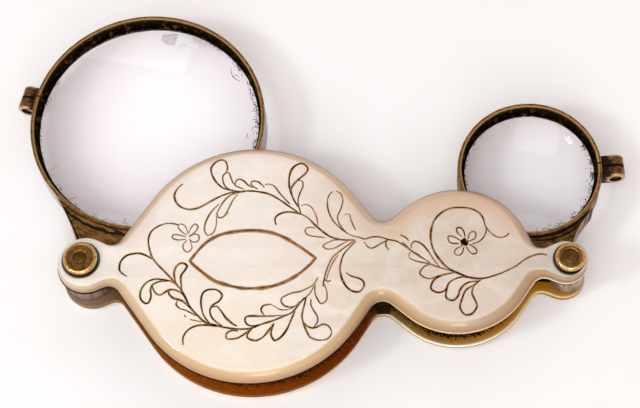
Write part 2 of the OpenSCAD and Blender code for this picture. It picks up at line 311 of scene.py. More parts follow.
# Stains, worn flecks and fine grain, which every metal piece has
def makeAgeGroup():
    group = bpy.data.node_groups.new("metalAge", "ShaderNodeTree")
    for way, kind, names in (("INPUT", "Float", ("Stain Size", "Fleck Size", "Seed", "Turn")),
                             ("INPUT", "Vector", ("Squeeze",)),
                             ("OUTPUT", "Float", ("Stain", "Fleck", "Speck", "Grain"))):
        for name in names:
            group.interface.new_socket(name, in_out=way, socket_type="NodeSocket" + kind)
    given = group.nodes.new("NodeGroupInput").outputs
    out = group.nodes.new("NodeGroupOutput")
    place = put(group, "ShaderNodeVectorRotate", {"Vector": objectPlace(group),
                                                  "Angle": given["Turn"]},
                rotation_type="Z_AXIS").outputs[0]
    place = put(group, "ShaderNodeVectorMath", {0: place, 1: given["Squeeze"]},
                operation="MULTIPLY").outputs[0]
    stain = cloud(group, place, given["Stain Size"], 4.0, 0.55, 0.4, given["Seed"])
    fleck = cloud(group, place, given["Fleck Size"], 3.0, 0.6, 0.6, given["Seed"])
    for name, value in (("Stain", fade(group, stain, 0.38, 0.64)),
                        ("Fleck", fade(group, fleck, 0.54, 0.68)),
                        ("Speck", cloud(group, place, 0.38, 3.0, 0.6, 0.5, given["Seed"])),
                        ("Grain", cloud(group, place, 0.12, 2.0, 0.6, 0.0, given["Seed"]))):
        group.links.new(value, out.inputs[name])
    return group


metalAge = makeAgeGroup()


# A worn metal: base, stain and fleck are screen colours, sizes are in mm. A piece's two attributes
# say where its edges are rubbed bright, on some pieces also as a painted highlight, and where it is
# darkened by dirt, on some pieces also by painted shade in gaps and under overhangs.
def wornMetal(name, look):
    material, tree = newMaterial(name)
    age = put(tree, "ShaderNodeGroup", node_tree=metalAge)
    for key, value in (("Stain Size", look.get("stainSize", 3)), ("Seed", look.get("seed", 0)),
                       ("Fleck Size", look.get("fleckSize", 0.5)),
                       ("Turn", math.radians(look.get("turn", 0))),
                       ("Squeeze", look.get("squeeze", (1, 1, 1)))):
        age.inputs[key].default_value = value
    stain = maths(tree, "MULTIPLY", age.outputs["Stain"], look.get("stainAmount", 0.8))
    fleck = maths(tree, "MULTIPLY", age.outputs["Fleck"], look.get("fleckAmount", 0.8))
    colour = mixColour(tree, stain, look["base"], look["stain"])
    if "along" in look:    # colours along the case, at places in mm
        colour = mixColour(tree, 0.85, colour, alongCase(tree, look["along"]))
    colour = mixColour(tree, fleck, colour, look["fleck"])
    worn = pieceValue(tree, "worn")
    for part in ("Grain", "Speck"):
        rub = fade(tree, age.outputs[part], 0.34, 0.56, look.get("wornLeast", 0.45), 1)
        worn = maths(tree, "MULTIPLY", worn, rub)
    edgeColour = alongCase(tree, look["edgeAlong"]) if "edgeAlong" in look \
        else look.get("edge", look["fleck"])
    colour = mixColour(tree, worn, colour, edgeColour)
    # darkened by dirt, and on some pieces by painted shade
    grime = pieceValue(tree, "grime")
    darkening = fade(tree, maths(tree, "ADD", grime, age.outputs["Speck"]), 0.66, 0.9)
    darkening = maths(tree, "MULTIPLY", darkening, fade(tree, grime, 0, 0.12))
    colour = mixColour(tree, darkening, colour, look.get("grime", (22, 13, 8)))
    bump = put(tree, "ShaderNodeBump", {"Height": age.outputs["Grain"], "Strength": 0.25,
                                        "Distance": 0.00004})
    shine = look.get("metallic", 0.9)
    return finishMaterial(material, put(tree, "ShaderNodeBsdfPrincipled", {
        "Base Color": colour, "Metallic": fade(tree, darkening, 0, 1, shine, 0) if shine else 0.0,
        "Roughness": fade(tree, stain, 0, 1, *look.get("roughness", (0.32, 0.55))),
        "Normal": bump.outputs[0], "Specular IOR Level": look.get("specular", 0.5),
        "IOR": look.get("ior", 1.15)}))


def alongCase(tree, stops):
    x = put(tree, "ShaderNodeSeparateXYZ", {0: objectPlace(tree)}).outputs[0]
    low, high = stops[0][0], stops[-1][0]
    spot = put(tree, "ShaderNodeMapRange", {0: x, 1: low * mm, 2: high * mm}).outputs[0]
    ramp = put(tree, "ShaderNodeValToRGB", {0: spot})
    marks = ramp.color_ramp.elements
    for i, (stop, colour) in enumerate(stops):
        mark = marks[i] if i < 2 else marks.new(1)
        mark.position = (stop - low) / (high - low)
        mark.color = rgba(*colour)
    return ramp.outputs[0]


footLook = {"base": (122, 88, 46), "stain": (46, 29, 14), "fleck": (188, 142, 78),
            "edge": (196, 150, 86), "grime": (14, 8, 5), "stainSize": 0.8,
            "fleckAmount": 0.7, "squeeze": (1, 0.3, 1), "seed": 3.0}
metals = {
    "ring": {"base": (158, 116, 62), "stain": (78, 50, 24), "fleck": (204, 162, 96),
             "edge": (226, 186, 116), "grime": (52, 32, 14), "stainSize": 1.1, "fleckSize": 0.35,
             "stainAmount": 0.9, "seed": 1.0, "roughness": (0.34, 0.5)},
    "ringInside": {"base": (5, 4, 4), "stain": (2, 2, 2), "fleck": (150, 108, 54),
                   "edge": (150, 104, 48), "fleckSize": 0.9, "fleckAmount": 0.3,
                   "metallic": 0.0, "roughness": (0.6, 0.8), "specular": 0.05, "ior": 1.05,
                   "seed": 2.0},
    "largeFoot": dict(footLook, turn=-71, base=(158, 116, 62), stain=(88, 60, 30),
                      grime=(30, 18, 9)),    # the streaks follow each foot
    "smallFoot": dict(footLook, turn=-109),
    # The large ring's outer wall and foot flanks are pale grey: a painted reflection of the bright room
    # on a wall seen at a grazing angle. The small ring's wall keeps the brass colour.
    "largeWall": {"base": (196, 188, 190), "stain": (170, 158, 156), "fleck": (208, 200, 200),
                  "stainSize": 0.8, "stainAmount": 0.5, "fleckSize": 0.4, "metallic": 0.3,
                  "seed": 3.5},
    "smallWall": {"base": (124, 94, 60), "stain": (70, 48, 28), "fleck": (166, 132, 88),
                  "stainSize": 0.8, "fleckSize": 0.4, "metallic": 0.6, "seed": 3.7},
    # The front plate's colours along the case: dark along the large lobe as painted shadow under the
    # scale's edge, and pale along the small lobe, its edge near white as rubbed brass and a painted
    # highlight.
    "frontPlate": {"base": (120, 84, 50), "stain": (84, 56, 32), "fleck": (190, 150, 100),
                   "fleckSize": 0.4, "fleckAmount": 0.2, "seed": 4.0,
                   "metallic": 0.0, "roughness": (0.5, 0.65), "specular": 0.1, "ior": 1.05,
                   "along": ((-40, (84, 50, 26)), (4, (64, 32, 12)), (10, (196, 164, 112)),
                             (40, (226, 200, 150))),
                   "edgeAlong": ((-40, (72, 44, 24)), (4, (52, 26, 12)), (12, (244, 224, 180)),
                                 (40, (252, 238, 204)))},
    # The back plate's colours along the slot: patina, and a painted reflection of the brass slot round
    # it; the near-white edge along the small lobe is rubbed brass and a painted highlight.
    "backPlate": {"base": (196, 110, 34), "stain": (140, 66, 10), "fleck": (224, 150, 60),
                  "grime": (24, 12, 4), "fleckSize": 0.35, "fleckAmount": 0.4,
                  "seed": 4.5, "metallic": 0.35, "roughness": (0.3, 0.42), "wornLeast": 0.85,
                  "along": ((-40, (146, 134, 124)), (-33, (134, 118, 100)),
                            (-29, (128, 78, 32)), (-26, (156, 80, 14)), (-12, (168, 78, 8)),
                            (2, (140, 56, 8)), (7, (90, 38, 12)), (10, (104, 86, 32)),
                            (16, (142, 106, 32)), (20, (180, 122, 36)), (27, (190, 130, 36)),
                            (31, (216, 150, 20)), (34, (190, 136, 40)), (40, (150, 116, 70))),
                  "edgeAlong": ((-40, (150, 130, 112)), (-33, (138, 108, 80)),
                                (-29, (150, 90, 36)), (6, (140, 64, 16)),
                                (10, (244, 220, 168)), (20, (255, 250, 224)),
                                (30, (255, 226, 150)), (40, (214, 170, 104)))},
    # Rosette: its rubbed rim is a painted highlight too, and it darkens towards the foot of its side
    # wall as painted shade in the recess.
    "rosette": {"base": (156, 112, 62), "stain": (88, 56, 28), "fleck": (184, 140, 84),
                "edge": (255, 212, 136), "grime": (26, 15, 8), "stainSize": 0.7,
                "stainAmount": 0.8, "fleckSize": 0.2, "seed": 5.0, "roughness": (0.17, 0.3)},
    "pin": {"base": (116, 80, 36), "stain": (72, 46, 18), "fleck": (150, 110, 58),
            "grime": (40, 26, 14), "stainSize": 0.8, "fleckSize": 0.3, "seed": 6.0},
    "barrel": {"base": (180, 156, 140), "stain": (120, 90, 74), "fleck": (200, 180, 166),
               "stainSize": 1.0, "fleckSize": 0.35, "squeeze": (1, 1, 0.22), "seed": 7.0,
               "metallic": 0.5},
    "spacer": {"base": (44, 26, 14), "stain": (14, 8, 5), "fleck": (104, 72, 40),
               "stainSize": 0.6, "fleckSize": 0.35, "fleckAmount": 0.5, "metallic": 0.0,
               "roughness": (0.6, 0.8), "specular": 0.05, "ior": 1.05, "seed": 8.0},
    "screw": {"base": (150, 118, 70), "stain": (90, 62, 30), "fleck": (196, 160, 104),
              "stainSize": 0.8, "fleckSize": 0.3, "seed": 9.0},
    "lug": {"base": (146, 106, 62), "stain": (74, 46, 22), "fleck": (186, 144, 88),
            "edge": (232, 200, 152), "grime": (42, 26, 12), "stainSize": 1.0, "fleckSize": 0.35,
            "seed": 10.0},
}
metal = {name: wornMetal(name + "Metal", look) for name, look in metals.items()}


pearlLook = {
    # Colours along the case, in mm: the right lobe is duller than the left, partly the shell's tone and
    # partly a painted fall-off of the light from the left.
    "along": ((-40, (230, 230, 227)), (-32, (238, 232, 225)), (-24, (249, 238, 228)),
              (-10, (248, 237, 227)), (1, (234, 219, 204)), (7, (225, 210, 193)),
              (14, (218, 203, 185)), (30, (211, 198, 182)), (40, (206, 196, 184))),
    "band": ((-40, (202, 188, 164)), (-31, (208, 180, 138)), (-18, (212, 174, 124)),
             (-4, (220, 182, 130)), (6, (198, 162, 112)), (20, (196, 166, 130)),
             (32, (180, 144, 102)), (40, (162, 138, 104))),
    "foot": (150, 96, 52),    # the band's lower side, darker
    "farBand": (232, 204, 176),    # the band's colour on the far side, a painted sheen of the edge seen at a grazing angle
    "cream": (249, 232, 208),    # towards the near side of the large lobe
    "rosy": (246, 224, 212), "grey": (236, 232, 222), "bright": (254, 247, 238),
    # amber is painted light through the thin far edge, and the darkest colour is painted shade in the
    # rosette recesses
    "vein": (208, 184, 158), "amber": (132, 66, 10), "grime": (26, 13, 6),
    # centre, radius, width and amount of the tan glow inside the far edge of each lobe, in mm: painted
    # light, as through the thin far edge
    "glow": (((-10.7, 0), 18.55, 3.4, 0.42), ((19.55, 0.4), 11.3, 6.0, 0.75)),
    "glowColour": (214, 170, 124),
}


def makePearl():
    material, tree = newMaterial("motherOfPearl")
    look, place = pearlLook, objectPlace(tree)
    x, y, _ = put(tree, "ShaderNodeSeparateXYZ", {0: place}).outputs
    flow = put(tree, "ShaderNodeMapping", {"Vector": place, "Rotation": (0, 0, 0.9),
                                           "Scale": (1.0, 2.6, 1.0)}).outputs[0]
    veins = cloud(tree, flow, 3.2, 5.0, 0.65, 2.5)
    clouds = fade(tree, cloud(tree, flow, 11, 4.0, 0.5, 1.4), 0.46, 0.64, 0, 0.5)
    near = maths(tree, "MULTIPLY", fade(tree, y, 0.002, -0.014), fade(tree, x, 0.004, -0.012))
    colour = alongCase(tree, look["along"])
    for key, amount in (
            ("cream", maths(tree, "MULTIPLY", near, 0.8)),
            # the bright patches thin out towards the right, part of the same painted fall-off
            ("bright", maths(tree, "MULTIPLY", clouds, fade(tree, x, 0.003, 0.014, 1, 0.35))),
            ("rosy", fade(tree, cloud(tree, place, 16, 3.0, 0.5, 0.8), 0.50, 0.66, 0, 0.28)),
            ("grey", fade(tree, cloud(tree, place, 6, 3.0, 0.55, 1.2), 0.50, 0.36, 0, 0.35)),
            ("vein", fade(tree, veins, 0.58, 0.72, 0, 0.3))):
        colour = mixColour(tree, amount, colour, look[key])
    side = fade(tree, x, 0.0075, 0.0105)
    flat = put(tree, "ShaderNodeCombineXYZ", {0: x, 1: y}).outputs[0]
    # a painted glow inside each lobe's far edge
    for (centre, radius, width, amount), whose in zip(
            look["glow"], (maths(tree, "SUBTRACT", 1.0, side), side)):
        away = put(tree, "ShaderNodeVectorMath", {0: flat, 1: Vector((*centre, 0)) * mm},
                   operation="DISTANCE").outputs["Value"]
        glow = maths(tree, "MULTIPLY", fade(tree, away, (radius - width) * mm, radius * mm),
                     fade(tree, y, 0.0, 0.008))
        glow = maths(tree, "MULTIPLY", maths(tree, "MULTIPLY", glow, whose), amount)
        colour = mixColour(tree, glow, colour, look["glowColour"])
    edge, grime = pieceValue(tree, "edge"), pieceValue(tree, "grime")
    band = mixColour(tree, fade(tree, edge, 0.62, 1.0, 0, 0.55), alongCase(tree, look["band"]),
                     look["foot"])
    # Towards the far side, by which way the face turns, the band is lighter as a painted sheen and the
    # edge turns amber as painted light through the thin edge at a grazing angle.
    normal = put(tree, "ShaderNodeNewGeometry").outputs["Normal"]
    far = put(tree, "ShaderNodeSeparateXYZ", {0: normal}).outputs[1]
    band = mixColour(tree, fade(tree, far, 0.05, 0.4, 0, 0.6), band, look["farBand"])
    colour = mixColour(tree, fade(tree, edge, 0.02, 0.45, 0, 0.92), colour, band)
    amber = maths(tree, "MULTIPLY", fade(tree, far, 0.45, 0.9), fade(tree, edge, 0.2, 0.75))
    colour = mixColour(tree, maths(tree, "MULTIPLY", amber, 0.9), colour, look["amber"])
    # darker in the rosette recesses, as painted shade
    colour = mixColour(tree, grime, colour, look["grime"])
    coat = maths(tree, "MULTIPLY", fade(tree, grime, 0, 0.5, 0.75, 0),
                 fade(tree, edge, 0.75, 0.97, 1, 0))    # the foot of the edge is dull
    dull = maths(tree, "MAXIMUM", grime, fade(tree, edge, 0.75, 0.97, 0, 0.8))
    bump = put(tree, "ShaderNodeBump", {"Height": veins, "Strength": 0.15, "Distance": 0.0001})
    return finishMaterial(material, put(tree, "ShaderNodeBsdfPrincipled", {
        "Base Color": colour, "Roughness": fade(tree, dull, 0, 1, 0.3, 0.8), "Coat Weight": coat,
        "Coat Roughness": 0.1, "Subsurface Weight": 0.12, "Subsurface Scale": 0.0006,
        "Normal": bump.outputs[0]}))


# Linear colours of each lens and of the light that it lets through: the rim bends more of it away
# The small lens is tinted darker, partly the glass's tint and partly painted shade of the table seen
# through it.
glassLook = {"large": (0.94, 0.91, 0.92, 1), "small": (0.85, 0.82, 0.825, 1),
             "middleShade": (0.99, 0.98, 0.985, 1), "rimShade": (0.76, 0.70, 0.72, 1)}


def makeGlass(size):
    material, tree = newMaterial(size + "Glass")
    shader = put(tree, "ShaderNodeBsdfPrincipled",
                 {"Base Color": glassLook[size], "Roughness": 0.0, "IOR": 1.42,
                  "Specular IOR Level": 0.22, "Transmission Weight": 1.0})
    shade = mixColour(tree, fade(tree, pieceValue(tree, "rim"), 0.35, 1.0),
                      glassLook["middleShade"], glassLook["rimShade"])
    clear = put(tree, "ShaderNodeBsdfTransparent", {"Color": shade})
    path = put(tree, "ShaderNodeLightPath")
    return finishMaterial(material, put(tree, "ShaderNodeMixShader", {
        0: path.outputs["Is Shadow Ray"], 1: shader.outputs[0], 2: clear.outputs[0]}))


pearl = makePearl()
glass = {size: makeGlass(size) for size in ("large", "small")}


# Scales: flat faces, an edge that rounds over, a recess for each rosette and a hole for each pin
def makeScale(name, node, underZ, topZ, sink):
    verts, faces, edge, grime = [], [], [], []
    up = 1 if topZ > underZ else -1
    bend = caseShape["edgeBend"]
    height = abs(topZ - underZ)
    foot, width = caseShape["edgeFoot"], caseShape["edgeWidth"]
    loops = []

    def layer(inset, z, depth):
        loops.append(addLoop(verts, outlineLoop(inset, underZ + up * z)))
        edge.extend([depth] * len(caseOutline))
        grime.extend([0.0] * len(caseOutline))

    def rounded(c):
        return lambda share: caseShape["scaleInset"] + width * share * c
    layer(caseShape["scaleInset"], 0, 1)
    for k in range(caseShape["edgeSteps"] + 1):
        a = math.pi / 2 * k / caseShape["edgeSteps"]
        layer(rounded(1 - math.cos(a) ** bend), foot + (height - foot) * math.sin(a) ** bend,
              math.cos(a))
    skin(faces, loops)
    tops, bottoms = [], []
    for side, pinR, rosetteR in zip((-1, 1), caseShape["pinR"], caseShape["rosetteR"]):
        x = side * caseShape["pivotX"]
        r, hole = rosetteR + caseShape["rosetteGap"], pinR + caseShape["holeGap"]
        rings = []
        # the recess walls darken downwards, painted shade in the gap round the rosette
        for radius, z, dirt in ((r + 0.14, height, 0), (r + 0.04, height - 0.04, 0.1),
                                (r, height - 0.14, 0.5), (r, height - sink, 0.75),
                                (hole, height - sink, 1), (hole, 0, 1)):
            rings.append(addLoop(verts, circle(radius, underZ + up * z, x=x)))
            edge.extend([0.0] * len(rings[-1]))
            grime.extend([dirt] * len(rings[-1]))
        skin(faces, rings)
        tops.append(rings[0])
        bottoms.append(rings[-1])
    cap(verts, faces, loops[-1], *tops)
    cap(verts, faces, loops[0], *bottoms)
    makePiece(name, verts, faces, "case", [pearl], "pearl", [node], edge=edge, grime=grime)


linerShape = {
    "soft": 0.07,    # the soft corner
    "bright": 0.18,    # width of the rubbed corner on the slot's side, which catches the light
    "inner": (1.7, 1.15, 0.75),    # where the inner face's darkening changes: dirt specks and painted shade under the scale
    "rim": 0.3,    # the darkening is even up to here
    "earDirt": 0.25, "smallDirt": 0.7, "largeDirt": 0.5,    # share of it that each place keeps
}


def makeLiner(name, node, lowZ, highZ, look):
    verts, faces, worn, grime = [], [], [], []
    soft, bright, inner = (linerShape[key] for key in ("soft", "bright", "inner"))
    earShare, earDirt = min(share for _, _, share in caseOutline), linerShape["earDirt"]

    def layer(inset, z, rubbed, dirt):
        worn.extend([rubbed] * len(caseOutline))
        for p, _, share in caseOutline:
            less = earDirt + (1 - earDirt) * (share - earShare) / (1 - earShare)
            less *= linerShape["smallDirt" if p.x > caseShape["hollows"][1][0][0] else "largeDirt"]
            grime.append(dirt * less if inset > linerShape["rim"] else dirt)
        return addLoop(verts, outlineLoop(inset, z))
    middle = (lowZ + highZ) / 2
    # The lower outer wall darkens as a painted shadow line under the plate, and the inner face darkens
    # towards the inside as painted shade under the scale, with dirt specks. The top corner on the
    # slot's side is bright as rubbed brass and as a painted highlight.
    edges = [layer(*stop) for stop in
             ((inner[0], lowZ, 0, 0), (0.4, lowZ, 0.3, 0), (soft, lowZ, 0.3, 0.5),
              (0.02, lowZ + 0.02, 0.2, 1), (0, lowZ + soft, 0, 1.4), (0, middle, 0.1, 0.8),
              (0, highZ - bright, 1, 0), (bright * 0.3, highZ - bright * 0.3, 1, 0),
              (bright, highZ, 1, 0), (0.24, highZ, 1, 0), (0.4, highZ, 0.2, 0),
              (inner[2], highZ, 0.08, 0.12), (inner[1], highZ, 0, 0.3), (inner[0], highZ, 0, 0.6))]
    skin(faces, edges)
    lows, highs = [], []
    for side, pinR in zip((-1, 1), caseShape["pinR"]):
        x = side * caseShape["pivotX"]
        for loops, z in ((lows, lowZ), (highs, highZ)):
            loops.append(addLoop(verts, circle(pinR + caseShape["holeGap"], z, x=x)))
            worn.extend([0] * len(loops[-1]))
            grime.extend([0.8] * len(loops[-1]))
        bridge(faces, lows[-1], highs[-1])
    cap(verts, faces, edges[0], *lows)
    cap(verts, faces, edges[-1], *highs)
    makePiece(name, verts, faces, "case", [metal[look]], "brass", [node], worn=worn, grime=grime)


makeScale("frontScale", "front_scale", caseShape["frontZ"], caseShape["faceZ"],
          caseShape["frontSink"])
makeScale("backScale", "back_scale", caseShape["backZ"], 0.0, caseShape["backSink"])
makeLiner("frontLiner", "front_liner", caseShape["frontPlateZ"], caseShape["frontZ"],
          "frontPlate")
makeLiner("backLiner", "back_liner", caseShape["backZ"], caseShape["slotZ"], "backPlate")


# The block that holds the case together at the waist: cast, rough and blackened
spacerShape = {"levels": 24, "around": 48, "corner": 0.25, "least": 0.94, "rough": 0.06,
               "grain": 2.4}


def makeSpacer():
    low, high = (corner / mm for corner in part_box("waist_spacer"))
    middle, half = (low + high) / 2, (high - low) / 2
    verts, faces, loops = [], [], []
    levels, count, grain = (spacerShape[key] for key in ("levels", "around", "grain"))
    for j in range(levels + 1):
        z = low.z + (high.z - low.z) * j / levels
        points = []
        for i in range(count):
            a = 2 * math.pi * i / count
            c, q = math.cos(a), math.sin(a)
            x = math.copysign(abs(c) ** spacerShape["corner"], c) * half.x    # nearly square
            y = math.copysign(abs(q) ** spacerShape["corner"], q) * half.y
            rough = spacerShape["least"] + spacerShape["rough"] * noise.noise(
                Vector((x * grain, y * grain, z * grain)))
            points.append((middle.x + x * rough, middle.y + y * rough, z))
        loops.append(addLoop(verts, points))
    skin(faces, loops, verts)
    makePiece("waistSpacer", verts, faces, "case", [metal["spacer"]], "black_brass",
              ["waist_spacer"])


makeSpacer()
print("case made")

